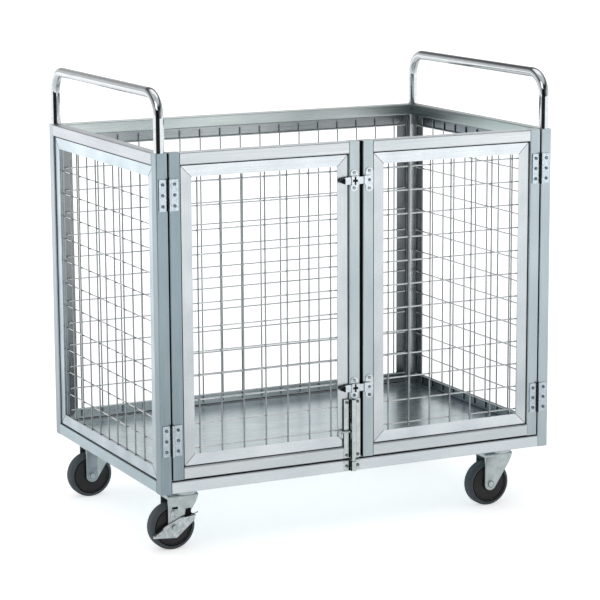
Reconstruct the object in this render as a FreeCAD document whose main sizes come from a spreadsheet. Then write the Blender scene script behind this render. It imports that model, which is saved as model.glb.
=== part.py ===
# Wire cage cart: a stainless tube frame with mesh sides, two mesh doors and four swivel casters.
# The front with the doors faces -Y, +Z is up, and the origin is on the floor under the cart's middle.
import FreeCAD, Part
import math
import os
import re
import Sketcher
from FreeCAD import Rotation, Vector

# Driving dimensions, in millimetres
SIZES = {
    # Frame of square tube
    "cart_width": 920,
    "cart_depth": 610,
    "frame_height": 700,
    "tube_side": 25,
    "tube_wall": 1.5,
    "tube_corner": 2.5,
    "post_cap": 2,
    # Deck and its bearers
    "deck_sheet": 2,
    "bearer_width": 104,
    "bearer_sheet": 2.5,
    # Doors
    "door_side_gap": 2.5,
    "door_centre_gap": 7,
    "door_sill_gap": 3,
    # Flat bar trim and welded mesh
    "trim_width": 25,
    "trim_thick": 3,
    "trim_recess": 4,
    "trim_gap": 0.8,
    "mitre_gap": 0.3,
    "wire_diameter": 3.2,
    "wire_pitch": 50,
    "wire_lap": 18,
    "weld_gap": 0.1,
    # Push handles of round pipe
    "handle_rise": 128,
    "handle_pipe": 22,
    "handle_wall": 1.5,
    "handle_bend": 48,
    # Butt hinges
    "hinge_height": 64,
    "hinge_leaf": 21,
    "hinge_sheet": 2.5,
    "hinge_knuckle": 9,
    "hinge_pin": 4,
    "hinge_play": 0.3,
    "pin_play": 0.08,
    "pin_head": 1,
    "pin_head_step": 0.5,
    "hinge_inset": 52,
    "hinge_screw_inset": 13,
    "hinge_screw_pitch": 22,
    # Screws
    "screw_head": 7,
    "screw_head_height": 1.2,
    "screw_shank": 4,
    "screw_play": 0.1,
    # Slide latches across the doors
    "upper_latch_drop": 81,
    "lower_latch_rise": 180,
    "latch_sheet": 1.5,
    "latch_slide_play": 0.4,
    "latch_bolt_height": 15,
    "latch_bolt_thick": 3.2,
    "latch_bolt_length": 53,
    "latch_bolt_tip": 6,
    "latch_bolt_taper": 13,
    "latch_end_gap": 0.8,
    "latch_knob": 7,
    "latch_knob_height": 5,
    "latch_knob_inset": 4.5,
    "guide_width": 17,
    "guide_height": 45,
    "guide_inset": 14,
    "keeper_width": 18,
    "keeper_height": 50,
    "keeper_inset": 14.5,
    "keeper_bridge": 16,
    "ear_screw_inset": 6.5,
    # Drop bolt at the foot of the left door
    "rod_diameter": 8,
    "rod_play": 0.3,
    "rod_cover": 12.4,
    "rod_stand_off": 6.4,
    "rod_inset": 19,
    "rod_length": 96,
    "rod_end_gap": 0.8,
    "rod_lift": 15,
    "rod_throw": 14,
    "bolt_plate_width": 38,
    "bolt_plate_height": 126,
    "bolt_plate_rise": 2,
    "bolt_plate_inset": 0.5,
    "bolt_screw_inset": 6,
    "bolt_keeper_height": 21,
    "bolt_keeper_rise": 2,
    "bolt_handle_rise": 60,
    "bolt_handle_reach": 27,
    "bolt_handle_pin": 4.5,
    "bolt_handle_bend": 4,
    "bolt_handle_drop": 7,
    # Casters
    "caster_inset_x": 81.5,
    "caster_inset_y": 71,
    "caster_trail": 31.5,
    "caster_plate_length": 95,
    "caster_plate_width": 80,
    "caster_plate_thick": 4,
    "caster_bolt_pitch_x": 75,
    "caster_bolt_pitch_y": 60,
    "caster_bolt": 8,
    "caster_bolt_play": 0.3,
    "caster_bolt_head": 13,
    "caster_bolt_head_height": 5,
    "race_diameter": 64,
    "race_height": 11.2,
    "race_flare": 4,
    "swivel_gap": 0.3,
    "swivel_disc": 52,
    "swivel_disc_thick": 3,
    "wheel_diameter": 100,
    "wheel_width": 30,
    "wheel_headroom": 15,
    "tyre_wall": 12,
    "tyre_round": 8,
    "tyre_groove_inset": 1.5,
    "tyre_groove_width": 2,
    "tyre_groove_depth": 1.5,
    "hub_width": 26,
    "hub_rim": 6,
    "hub_recess_depth": 6,
    "hub_boss": 24,
    "hub_boss_width": 34,
    "axle_diameter": 8,
    "axle_play": 0.08,
    "axle_head": 13,
    "axle_head_height": 3,
    "axle_nut": 13,
    "axle_nut_height": 5.5,
    "fork_width": 41,
    "fork_sheet": 2.5,
    "fork_bend": 4,
    "fork_end_radius": 14,
    "fork_skirt_x": 16.5,
    "fork_skirt_rise": 48,
    "fork_slot_x": 1.5,
    "fork_slot_rise": 38.5,
    "fork_slot_length": 13,
    "fork_slot_width": 5,
    "crown_front": 23,
    "crown_lip": 4,
    "crown_flange": 7,
    # Brake pedals
    "pedal_sheet": 2.5,
    "pedal_play": 0.3,
    "pedal_toe_reach": 48,
    "pedal_toe_drop": 12,
    "pedal_toe_lip": 6,
    "pedal_sole_x": 4,
    "pedal_sole_drop": 22,
    "pedal_tail_reach": 45,
    "pedal_tail_rise": 24,
    "pedal_tail_lip": 12,
    "pedal_shoulder_x": 12,
    "pedal_shoulder_rise": 20,
    "pedal_waist_x": 20,
    "pedal_waist_rise": 6,
    "pedal_tread": 8,
    "pedal_tread_length": 24,
}

doc = FreeCAD.newDocument("WireCageCart")
sheet = doc.addObject("Spreadsheet::Sheet", "Sizes")
for row, (alias, value) in enumerate(SIZES.items(), start=1):
    sheet.set(f"A{row}", alias)
    sheet.set(f"B{row}", str(value))
    sheet.setAlias(f"B{row}", alias)
doc.recompute()

# Planes of the frame, as sums of driving dimensions; the casters carry its base
LEFT = "-cart_width / 2"
RIGHT = "cart_width / 2"
FRONT = "-(cart_depth - rod_stand_off - rod_cover / 2) / 2"
BACK = f"{FRONT} + cart_depth"
CROWN_TOP = "wheel_diameter + wheel_headroom + fork_sheet"
DISC_TOP = f"{CROWN_TOP} + swivel_disc_thick"
PLATE_Z = f"{DISC_TOP} + swivel_gap + race_height"
BASE = f"{PLATE_Z} + caster_plate_thick"
TOP = f"{BASE} + frame_height"

# Turns that point a piece's own Z along another axis
UP = Vector(0, 0, 1)
TOLERANCE = 1e-6
UPRIGHT = Rotation()
ALONG_X = Rotation(Vector(0, 1, 0), 90)
ALONG_Y = Rotation(Vector(1, 0, 0), -90)

nodes = []


def sized(words):
    """A sum of size names as an expression that reads them from the sheet."""
    return re.sub(r"\b[a-z]+(?:_[a-z]+)+\b", lambda found: "Sizes." + found.group(0), words)


def bind(piece, **sizes):
    for name, words in sizes.items():
        piece.setExpression(name, sized(words))


def put(piece, at, turn=UPRIGHT):
    piece.Placement = FreeCAD.Placement(Vector(), turn)
    for letter, words in zip("xyz", at):
        piece.setExpression(f"Placement.Base.{letter}", sized(words))
    return piece


def node(piece, name):
    """Mark a finished piece as a sub-part; its label names its file."""
    piece.Label = name
    nodes.append(piece)
    return piece


# Part primitives and booleans


def box(name, size, at):
    piece = doc.addObject("Part::Box", name)
    bind(piece, Length=size[0], Width=size[1], Height=size[2])
    return put(piece, at)


def rod(name, diameter, length, at, turn=UPRIGHT):
    piece = doc.addObject("Part::Cylinder", name)
    bind(piece, Radius=f"({diameter}) / 2", Height=length)
    return put(piece, at, turn)


def hexagon(name, across_flats, height, at, turn=UPRIGHT):
    piece = doc.addObject("Part::Prism", name)
    piece.Polygon = 6
    bind(piece, Circumradius=f"({across_flats}) / {math.sqrt(3)}", Height=height)
    return put(piece, at, turn)


def fuse(name, pieces):
    piece = doc.addObject("Part::MultiFuse", name)
    piece.Shapes = pieces
    return piece


def cut(name, base, tools):
    piece = doc.addObject("Part::Cut", name)
    piece.Base = base
    piece.Tool = tools[0] if len(tools) == 1 else group(f"{name}_tools", tools)
    return piece


def group(name, pieces):
    piece = doc.addObject("Part::Compound", name)
    piece.Links = pieces
    return piece


# Bodies with sketches


def sketch_on(body, role, name, lift="0"):
    plane = next(part for part in body.Origin.OriginFeatures if part.Role == role)
    sketch = body.newObject("Sketcher::SketchObject", name)
    sketch.AttachmentSupport = [(plane, "")]
    sketch.MapMode = "FlatFace"
    sketch.setExpression("AttachmentOffset.Base.z", sized(lift))
    return sketch


def fix_point(sketch, edge, end, at):
    """Tie a point of the sketch, from where it was drawn, to its origin by two sizes."""
    drawn = sketch.getPoint(edge, end)
    for kind, value, words in zip(("DistanceX", "DistanceY"), (drawn.x, drawn.y), at):
        index = sketch.addConstraint(Sketcher.Constraint(kind, -1, 1, edge, end, value))
        sketch.setExpression(f"Constraints[{index}]", sized(words))


def draw_polygon(sketch, corners):
    count = len(corners)
    first = sketch.GeometryCount
    turn = 2 * math.pi / count
    ring = [Vector(math.cos(turn * step), math.sin(turn * step), 0) for step in range(count)]
    for step in range(count):
        sketch.addGeometry(Part.LineSegment(ring[step], ring[(step + 1) % count]), False)
    for step in range(count):
        sketch.addConstraint(
            Sketcher.Constraint("Coincident", first + step, 2, first + (step + 1) % count, 1)
        )
        fix_point(sketch, first + step, 1, corners[step])


def draw_circle(sketch, diameter, at=("0", "0")):
    edge = sketch.addGeometry(Part.Circle(Vector(), Vector(0, 0, 1), 1.0), False)
    fix_point(sketch, edge, 3, at)
    index = sketch.addConstraint(Sketcher.Constraint("Diameter", edge, 2.0))
    sketch.setExpression(f"Constraints[{index}]", sized(diameter))


def draw_square(sketch, side):
    half = f"({side}) / 2"
    draw_polygon(
        sketch,
        [(f"-{half}", f"-{half}"), (half, f"-{half}"), (half, half), (f"-{half}", half)],
    )


def pad(body, sketch, length, middle=False, back=False):
    feature = body.newObject("PartDesign::Pad", f"{sketch.Name}_pad")
    feature.Profile = sketch
    feature.Midplane = middle
    feature.Reversed = back
    bind(feature, Length=length)
    return feature


def pocket(body, sketch, length, middle=False, back=False):
    feature = body.newObject("PartDesign::Pocket", f"{sketch.Name}_pocket")
    feature.Profile = sketch
    feature.Midplane = middle
    feature.Reversed = back
    bind(feature, Length=length)
    return feature


def round_edges(body, base, radius, wanted):
    """Round the edges of a feature that the test picks out."""
    doc.recompute()
    names = [f"Edge{i}" for i, edge in enumerate(base.Shape.Edges, start=1) if wanted(edge)]
    feature = body.newObject("PartDesign::Fillet", f"{base.Name}_round")
    feature.Base = (base, names)
    bind(feature, Radius=radius)
    return feature


def is_upright(edge):
    return isinstance(edge.Curve, Part.Line) and edge.Curve.Direction.cross(UP).Length < TOLERANCE


def tube(name, length, start, turn, cap="0"):
    """A square tube whose own Z runs along it, open at its start; a cap closes its far end."""
    body = doc.addObject("PartDesign::Body", name)
    outside = sketch_on(body, "XY_Plane", f"{name}_outside")
    draw_square(outside, "tube_side")
    bar = pad(body, outside, length)
    round_edges(body, bar, "tube_corner", is_upright)
    inside = sketch_on(body, "XY_Plane", f"{name}_inside")
    draw_square(inside, "tube_side - 2 * tube_wall")
    pocket(body, inside, f"{length} - {cap}", back=True)
    return put(body, start, turn)


# Corner posts, top rails and the base ring

HALF_TUBE = "tube_side / 2"
POST_X = {"left": f"{LEFT} + {HALF_TUBE}", "right": f"{RIGHT} - {HALF_TUBE}"}
POST_Y = {"front": f"{FRONT} + {HALF_TUBE}", "rear": f"{BACK} - {HALF_TUBE}"}
INNER_WIDTH = "cart_width - 2 * tube_side"
INNER_DEPTH = "cart_depth - 2 * tube_side"
BASE_Z = f"{BASE} + {HALF_TUBE}"
TOP_Z = f"{TOP} - {HALF_TUBE}"

for end, y in POST_Y.items():
    for side, x in POST_X.items():
        name = f"post_{end}_{side}"
        node(tube(name, "frame_height", (x, y, BASE), UPRIGHT, cap="post_cap"), name)

for end, y in POST_Y.items():
    name = f"base_rail_{end}"
    node(tube(name, INNER_WIDTH, (f"{LEFT} + tube_side", y, BASE_Z), ALONG_X), name)
node(
    tube("top_rail_rear", INNER_WIDTH, (f"{LEFT} + tube_side", POST_Y["rear"], TOP_Z), ALONG_X),
    "top_rail_rear",
)
for side, x in POST_X.items():
    for level, z in (("base", BASE_Z), ("top", TOP_Z)):
        name = f"{level}_rail_{side}"
        node(tube(name, INNER_DEPTH, (x, f"{FRONT} + tube_side", z), ALONG_Y), name)

# Deck sheet, flush with the top of the base ring

node(
    box(
        "deck_panel",
        (INNER_WIDTH, INNER_DEPTH, "deck_sheet"),
        (f"{LEFT} + tube_side", f"{FRONT} + tube_side", f"{BASE} + tube_side - deck_sheet"),
    ),
    "deck_panel",
)

# Trim and mesh of one panel


def panel_turn(along, inward):
    return Rotation(along, inward, along.cross(inward), "ZXY")


def offset(corner, *moves):
    """Move a corner, given as three sums, by a length along each of some unit vectors."""
    words = list(corner)
    for direction, length in moves:
        for axis in range(3):
            step = round(direction[axis])
            if step:
                words[axis] = f"{words[axis]} {'+' if step > 0 else '-'} ({length})"
    return tuple(words)


def trim_frame(name, across, opening, opening_width, opening_height):
    """Four mitred flat bars; the opening's low corner is given on the trim's inner face."""
    corner = offset(opening, (across, "trim_gap"), (UP, "trim_gap"))
    width = f"{opening_width} - 2 * trim_gap"
    height = f"{opening_height} - 2 * trim_gap"
    runs = [
        (offset(corner), across, UP, width),
        (offset(corner, (across, width)), UP, -across, height),
        (offset(corner, (across, width), (UP, height)), -across, -UP, width),
        (offset(corner, (UP, height)), -UP, across, height),
    ]
    bars = []
    for start, along, inward, length in runs:
        bar = doc.addObject("Part::Wedge", f"{name}_bar")
        bind(bar, Xmin="mitre_gap", Xmax=f"{length} - mitre_gap")
        bind(bar, X2min="trim_width + mitre_gap", X2max=f"{length} - trim_width - mitre_gap")
        bind(bar, Ymin="0", Ymax="trim_width", Zmin="0", Z2min="0")
        bind(bar, Zmax="trim_thick", Z2max="trim_thick")
        bars.append(put(bar, start, panel_turn(along, inward)))
    return node(group(name, bars), name)


def wire_count(width):
    room = width - 2 * SIZES["trim_width"]
    return math.floor(room / SIZES["wire_pitch"]) + 1


def mesh(name, across, corner, width, height, counts):
    """Welded wires behind the trim: uprights against it, crosswise ones behind the uprights."""
    inward = -across.cross(UP)
    along_across = Rotation(UP, across)
    upright_depth = "weld_gap + wire_diameter / 2"
    cross_depth = f"{upright_depth} + wire_diameter"
    wires = []
    for step in range(counts[0]):
        place = f"({width}) / 2 + {step - (counts[0] - 1) / 2} * wire_pitch"
        start = offset(corner, (across, place), (inward, upright_depth), (UP, "trim_width - wire_lap"))
        length = f"{height} - 2 * (trim_width - wire_lap)"
        wires.append(rod(f"{name}_upright", "wire_diameter", length, start))
    for step in range(counts[1]):
        place = f"({height}) / 2 + {step - (counts[1] - 1) / 2} * wire_pitch"
        start = offset(corner, (across, "trim_width - wire_lap"), (inward, cross_depth), (UP, place))
        length = f"{width} - 2 * (trim_width - wire_lap)"
        wires.append(rod(f"{name}_crosswise", "wire_diameter", length, start, along_across))
    return node(group(name, wires), name)


def panel(name, across, corner, width, height, inner_size):
    trim_frame(f"{name}_trim", across, corner, width, height)
    mesh(f"{name}_mesh", across, corner, width, height, [wire_count(length) for length in inner_size])


TRIM_DEPTH = "trim_recess + trim_thick"
PANEL_HEIGHT = "frame_height - 2 * tube_side"
panel_z = f"{BASE} + tube_side"
inner_width = SIZES["cart_width"] - 2 * SIZES["tube_side"]
inner_depth = SIZES["cart_depth"] - 2 * SIZES["tube_side"]
inner_height = SIZES["frame_height"] - 2 * SIZES["tube_side"]
panel(
    "rear_panel",
    Vector(-1, 0, 0),
    (f"{RIGHT} - tube_side", f"{BACK} - ({TRIM_DEPTH})", panel_z),
    INNER_WIDTH,
    PANEL_HEIGHT,
    (inner_width, inner_height),
)
panel(
    "left_panel",
    Vector(0, -1, 0),
    (f"{LEFT} + {TRIM_DEPTH}", f"{BACK} - tube_side", panel_z),
    INNER_DEPTH,
    PANEL_HEIGHT,
    (inner_depth, inner_height),
)
panel(
    "right_panel",
    Vector(0, 1, 0),
    (f"{RIGHT} - ({TRIM_DEPTH})", f"{FRONT} + tube_side", panel_z),
    INNER_DEPTH,
    PANEL_HEIGHT,
    (inner_depth, inner_height),
)

# Doors

DOOR_WIDTH = "cart_width / 2 - tube_side - door_side_gap - door_centre_gap / 2"
DOOR_HEIGHT = "frame_height - tube_side - door_sill_gap"
DOOR_Z = f"{BASE} + tube_side + door_sill_gap"
DOOR_X = {
    "left": f"{LEFT} + tube_side + door_side_gap",
    "right": "door_centre_gap / 2",
}
FRONT_TUBE_Y = POST_Y["front"]
door_width = inner_width / 2 - SIZES["door_side_gap"] - SIZES["door_centre_gap"] / 2
door_height = SIZES["frame_height"] - SIZES["tube_side"] - SIZES["door_sill_gap"]

for side, x in DOOR_X.items():
    low_stile = f"{x} + {HALF_TUBE}"
    high_stile = f"{x} + {DOOR_WIDTH} - {HALF_TUBE}"
    hinge_x, latch_x = (low_stile, high_stile) if side == "left" else (high_stile, low_stile)
    for use, stile_x in (("hinge", hinge_x), ("latch", latch_x)):
        name = f"{side}_door_{use}_stile"
        start = (stile_x, FRONT_TUBE_Y, DOOR_Z)
        node(tube(name, DOOR_HEIGHT, start, UPRIGHT, cap="post_cap"), name)
    rails = [
        tube(
            f"{side}_door_{level}_rail",
            f"{DOOR_WIDTH} - 2 * tube_side",
            (f"{x} + tube_side", FRONT_TUBE_Y, z),
            ALONG_X,
        )
        for level, z in (("bottom", f"{DOOR_Z} + {HALF_TUBE}"), ("top", TOP_Z))
    ]
    node(group(f"{side}_door_rails", rails), f"{side}_door_rails")
    panel(
        f"{side}_door",
        Vector(1, 0, 0),
        (f"{x} + tube_side", f"{FRONT} + {TRIM_DEPTH}", f"{DOOR_Z} + tube_side"),
        f"{DOOR_WIDTH} - 2 * tube_side",
        f"{DOOR_HEIGHT} - 2 * tube_side",
        (door_width - 2 * SIZES["tube_side"], door_height - 2 * SIZES["tube_side"]),
    )

# Push handles: one bent pipe over each pair of posts


def handle(name, x):
    body = doc.addObject("PartDesign::Body", name)
    ring = sketch_on(body, "XY_Plane", f"{name}_ring")
    draw_circle(ring, "handle_pipe")
    draw_circle(ring, "handle_pipe - 2 * handle_wall")
    path = sketch_on(body, "YZ_Plane", f"{name}_path")
    span = SIZES["cart_depth"] - SIZES["tube_side"]
    rise = SIZES["handle_rise"] - SIZES["handle_pipe"] / 2
    bend = SIZES["handle_bend"]
    front_bend = Part.Circle(Vector(bend, rise - bend, 0), UP, bend)
    rear_bend = Part.Circle(Vector(span - bend, rise - bend, 0), UP, bend)
    path.addGeometry(
        [
            Part.LineSegment(Vector(), Vector(0, rise - bend, 0)),
            Part.ArcOfCircle(front_bend, math.pi / 2, math.pi),
            Part.LineSegment(Vector(bend, rise, 0), Vector(span - bend, rise, 0)),
            Part.ArcOfCircle(rear_bend, 0, math.pi / 2),
            Part.LineSegment(Vector(span, rise - bend, 0), Vector(span, 0, 0)),
        ],
        False,
    )
    front_leg, front_arc, bar, rear_arc, rear_leg = range(5)
    path.addConstraint(
        [
            Sketcher.Constraint("Coincident", front_leg, 1, -1, 1),
            Sketcher.Constraint("Tangent", front_leg, 2, front_arc, 2),
            Sketcher.Constraint("Tangent", front_arc, 1, bar, 1),
            Sketcher.Constraint("Tangent", bar, 2, rear_arc, 2),
            Sketcher.Constraint("Tangent", rear_arc, 1, rear_leg, 1),
            Sketcher.Constraint("Vertical", front_leg),
            Sketcher.Constraint("Vertical", rear_leg),
            Sketcher.Constraint("Equal", front_arc, rear_arc),
        ]
    )
    radius = path.addConstraint(Sketcher.Constraint("Radius", front_arc, bend))
    path.setExpression(f"Constraints[{radius}]", sized("handle_bend"))
    fix_point(path, rear_leg, 2, ("cart_depth - tube_side", "0"))
    height = path.addConstraint(Sketcher.Constraint("DistanceY", -1, 1, bar, 1, rise))
    path.setExpression(f"Constraints[{height}]", sized("handle_rise - handle_pipe / 2"))
    doc.recompute()
    pipe = body.newObject("PartDesign::AdditivePipe", f"{name}_pipe")
    pipe.Profile = ring
    pipe.Spine = (path, [])
    return node(put(body, (x, POST_Y["front"], TOP)), name)


for side, x in POST_X.items():
    handle(f"{side}_handle", x)

# Screws: a round head on a shank that fills the hole of the plate it holds


def screw(name, x, z, sheet_thick, face=FRONT):
    head = rod(
        f"{name}_head",
        "screw_head",
        "screw_head_height",
        (x, f"{face} - {sheet_thick} - screw_head_height", z),
        ALONG_Y,
    )
    shank = rod(f"{name}_shank", "screw_shank", sheet_thick, (x, f"{face} - {sheet_thick}", z), ALONG_Y)
    return fuse(name, [head, shank])


def screw_hole(name, x, z, depth):
    return rod(name, "screw_shank + 2 * screw_play", depth, (x, f"{FRONT} - ({depth})", z), ALONG_Y)


# Butt hinges: five knuckles on a pin in front of the gap between post and door

KNUCKLES = 5
HINGE_X = {
    "left": f"{LEFT} + tube_side + door_side_gap / 2",
    "right": f"{RIGHT} - tube_side - door_side_gap / 2",
}
HINGE_Y = f"{FRONT} - hinge_knuckle / 2"
HINGE_Z = {
    "lower": f"{DOOR_Z} + hinge_inset",
    "upper": f"{TOP} - hinge_inset - hinge_height",
}
KNUCKLE_STEP = f"hinge_height / {KNUCKLES}"


def hinge_screw_places(axis_x, reach, z):
    return [
        (f"{axis_x} {reach} hinge_screw_inset", f"{z} + hinge_height / 2 + {step} * hinge_screw_pitch")
        for step in (-1, 0, 1)
    ]


def hinge_leaf(name, axis_x, reach, z, own_knuckles):
    """A leaf on one side of the pin: reach is + or - along X, own_knuckles its places on the pin."""
    plate_length = "hinge_leaf - hinge_knuckle / 2 - hinge_play"
    plate_start = "+ hinge_knuckle / 2 + hinge_play" if reach == "+" else "- hinge_leaf"
    pieces = [
        box(
            f"{name}_plate",
            (plate_length, "hinge_sheet", "hinge_height"),
            (f"{axis_x} {plate_start}", f"{FRONT} - hinge_sheet", z),
        )
    ]
    tongue_start = axis_x if reach == "+" else f"{axis_x} - hinge_knuckle / 2 - hinge_play"
    for step in own_knuckles:
        low = f"{z} + {step} * {KNUCKLE_STEP} + hinge_play / 2"
        length = f"{KNUCKLE_STEP} - hinge_play"
        pieces.append(rod(f"{name}_knuckle", "hinge_knuckle", length, (axis_x, HINGE_Y, low)))
        pieces.append(
            box(
                f"{name}_tongue",
                ("hinge_knuckle / 2 + hinge_play", "hinge_sheet", length),
                (tongue_start, f"{FRONT} - hinge_sheet", low),
            )
        )
    bore = rod(f"{name}_bore", "hinge_pin + 2 * pin_play", "hinge_height", (axis_x, HINGE_Y, z))
    holes = [
        screw_hole(f"{name}_hole", x, screw_z, "hinge_sheet")
        for x, screw_z in hinge_screw_places(axis_x, reach, z)
    ]
    return cut(name, fuse(f"{name}_blank", pieces), [bore] + holes)


def hinge_pin(name, axis_x, z):
    pin = rod(f"{name}_shaft", "hinge_pin", "hinge_height", (axis_x, HINGE_Y, z))
    heads = [
        rod(f"{name}_head", "hinge_knuckle - 2 * pin_head_step", "pin_head", (axis_x, HINGE_Y, head_z))
        for head_z in (f"{z} - pin_head", f"{z} + hinge_height")
    ]
    return fuse(name, [pin] + heads)


post_leaves = []
door_leaves = {"left": [], "right": []}
frame_screws = []
door_screws = {"left": [], "right": []}
for side, axis_x in HINGE_X.items():
    post_reach, door_reach = ("-", "+") if side == "left" else ("+", "-")
    for level, z in HINGE_Z.items():
        name = f"{side}_{level}_hinge"
        post_leaves.append(hinge_leaf(f"{name}_post_leaf", axis_x, post_reach, z, range(0, KNUCKLES, 2)))
        post_leaves.append(hinge_pin(f"{name}_pin", axis_x, z))
        door_leaves[side].append(
            hinge_leaf(f"{name}_door_leaf", axis_x, door_reach, z, range(1, KNUCKLES, 2))
        )
        for x, screw_z in hinge_screw_places(axis_x, post_reach, z):
            frame_screws.append(screw(f"{name}_post_screw", x, screw_z, "hinge_sheet"))
        for x, screw_z in hinge_screw_places(axis_x, door_reach, z):
            door_screws[side].append(screw(f"{name}_door_screw", x, screw_z, "hinge_sheet"))
node(group("hinge_post_leaves", post_leaves), "hinge_post_leaves")
for side, leaves in door_leaves.items():
    node(group(f"{side}_door_hinge_leaves", leaves), f"{side}_door_hinge_leaves")

# Slide latches: a flat bolt in a guide on the left door, and its keeper on the right door

LATCH_Z = {
    "upper": f"{TOP} - upper_latch_drop",
    "lower": f"{BASE} + lower_latch_rise",
}
CHANNEL_HEIGHT = "latch_bolt_height + 2 * latch_slide_play"
CHANNEL_DEPTH = "latch_bolt_thick + 2 * latch_slide_play"
BRIDGE_HEIGHT = f"{CHANNEL_HEIGHT} + 2 * latch_sheet"
BRIDGE_DEPTH = f"{CHANNEL_DEPTH} + 2 * latch_sheet"
GUIDE_X = "-door_centre_gap / 2 - guide_inset"
KEEPER_X = "door_centre_gap / 2 + keeper_inset"


def ear_screw_places(height, z):
    return [f"{z} + {height} / 2 - ear_screw_inset", f"{z} - {height} / 2 + ear_screw_inset"]


def latch_plate(name, x, z, width, height, bridge_start, bridge_length):
    """A plate with two round ears and a raised bridge that the bolt slides under."""
    straight = f"{height} - {width}"
    low_ear = f"{z} - ({straight}) / 2"
    pieces = [
        box(
            f"{name}_plate",
            (width, "latch_sheet", straight),
            (f"{x} - {width} / 2", f"{FRONT} - latch_sheet", low_ear),
        )
    ]
    for ear_z in (low_ear, f"{z} + ({straight}) / 2"):
        pieces.append(
            rod(f"{name}_ear", width, "latch_sheet", (x, f"{FRONT} - latch_sheet", ear_z), ALONG_Y)
        )
    pieces.append(
        box(
            f"{name}_bridge",
            (bridge_length, BRIDGE_DEPTH, BRIDGE_HEIGHT),
            (bridge_start, f"{FRONT} - ({BRIDGE_DEPTH})", f"{z} - ({BRIDGE_HEIGHT}) / 2"),
        )
    )
    channel = box(
        f"{name}_channel",
        (bridge_length, CHANNEL_DEPTH, CHANNEL_HEIGHT),
        (
            bridge_start,
            f"{FRONT} - latch_sheet - ({CHANNEL_DEPTH})",
            f"{z} - ({CHANNEL_HEIGHT}) / 2",
        ),
    )
    holes = [
        screw_hole(f"{name}_hole", x, screw_z, "latch_sheet") for screw_z in ear_screw_places(height, z)
    ]
    return cut(name, fuse(f"{name}_blank", pieces), [channel] + holes)


def latch_bolt(name, z):
    """A flat bolt with a tapered finger end and a small knob; its other end stands in the door gap."""
    end = "door_centre_gap / 2 - latch_end_gap"
    tip = f"{end} - latch_bolt_length"
    body = doc.addObject("PartDesign::Body", f"{name}_bar")
    shape = sketch_on(body, "XZ_Plane", f"{name}_outline")
    draw_polygon(
        shape,
        [
            (tip, "-latch_bolt_tip / 2"),
            (f"{tip} + latch_bolt_taper", "-latch_bolt_height / 2"),
            (end, "-latch_bolt_height / 2"),
            (end, "latch_bolt_height / 2"),
            (f"{tip} + latch_bolt_taper", "latch_bolt_height / 2"),
            (tip, "latch_bolt_tip / 2"),
        ],
    )
    pad(body, shape, "latch_bolt_thick")
    rear = f"{FRONT} - latch_sheet - latch_slide_play"
    put(body, ("0", rear, z))
    knob = rod(
        f"{name}_knob",
        "latch_knob",
        "latch_knob_height",
        (f"{tip} + latch_knob_inset", f"{rear} - latch_bolt_thick - latch_knob_height", z),
        ALONG_Y,
    )
    return node(fuse(name, [body, knob]), name)


guides = []
keepers = []
for level, z in LATCH_Z.items():
    guides.append(
        latch_plate(
            f"{level}_latch_guide",
            GUIDE_X,
            z,
            "guide_width",
            "guide_height",
            f"{GUIDE_X} - guide_width / 2",
            "guide_width",
        )
    )
    keepers.append(
        latch_plate(
            f"{level}_latch_keeper",
            KEEPER_X,
            z,
            "keeper_width",
            "keeper_height",
            "door_centre_gap / 2",
            "keeper_bridge",
        )
    )
    latch_bolt(f"{level}_latch_bolt", z)
    for side, x, height in (("left", GUIDE_X, "guide_height"), ("right", KEEPER_X, "keeper_height")):
        for screw_z in ear_screw_places(height, z):
            door_screws[side].append(screw(f"{level}_{side}_latch_screw", x, screw_z, "latch_sheet"))
node(group("latch_guides", guides), "latch_guides")
node(group("latch_keepers", keepers), "latch_keepers")

# Drop bolt: a rod in a half-round cover on the left door, over a keeper on the base rail

ROD_X = "-door_centre_gap / 2 - rod_inset"
ROD_Y = f"{FRONT} - rod_stand_off"
PLATE_RIGHT = "-door_centre_gap / 2 - bolt_plate_inset"
PLATE_LEFT = f"{PLATE_RIGHT} - bolt_plate_width"
GUIDE_Z = f"{DOOR_Z} + bolt_plate_rise"
BOLT_KEEPER_Z = f"{BASE} + bolt_keeper_rise"
BOLT_HANDLE_Z = f"{DOOR_Z} + bolt_handle_rise"
BOLT_SCREW_X = [f"{PLATE_LEFT} + bolt_screw_inset", f"{PLATE_RIGHT} - bolt_screw_inset"]


def bolt_cover(name, z, height, screw_places, slots):
    """A plate with a round cover along its middle, bored for the rod."""
    plate = box(
        f"{name}_plate",
        ("bolt_plate_width", "latch_sheet", height),
        (PLATE_LEFT, f"{FRONT} - latch_sheet", z),
    )
    cover = rod(f"{name}_round", "rod_cover", height, (ROD_X, ROD_Y, z))
    bore = rod(f"{name}_bore", "rod_diameter + 2 * rod_play", height, (ROD_X, ROD_Y, z))
    holes = [screw_hole(f"{name}_hole", x, screw_z, "latch_sheet") for x, screw_z in screw_places]
    return cut(name, fuse(f"{name}_blank", [plate, cover]), [bore] + holes + slots)


guide_screws = [(x, f"{GUIDE_Z} + bolt_screw_inset") for x in BOLT_SCREW_X]
guide_screws += [(x, f"{GUIDE_Z} + bolt_plate_height - bolt_screw_inset") for x in BOLT_SCREW_X]
keeper_screws = [(x, f"{BOLT_KEEPER_Z} + bolt_keeper_height / 2") for x in BOLT_SCREW_X]
SLOT_WIDTH = "bolt_handle_pin + 2 * rod_play"
handle_slot = box(
    "drop_bolt_slot",
    ("rod_cover / 2", SLOT_WIDTH, f"rod_lift + rod_throw + {SLOT_WIDTH}"),
    (
        f"{ROD_X} - rod_cover / 2",
        f"{ROD_Y} - ({SLOT_WIDTH}) / 2",
        f"{BOLT_HANDLE_Z} - rod_throw - ({SLOT_WIDTH}) / 2",
    ),
)
node(
    bolt_cover("drop_bolt_guide", GUIDE_Z, "bolt_plate_height", guide_screws, [handle_slot]),
    "drop_bolt_guide",
)
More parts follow.
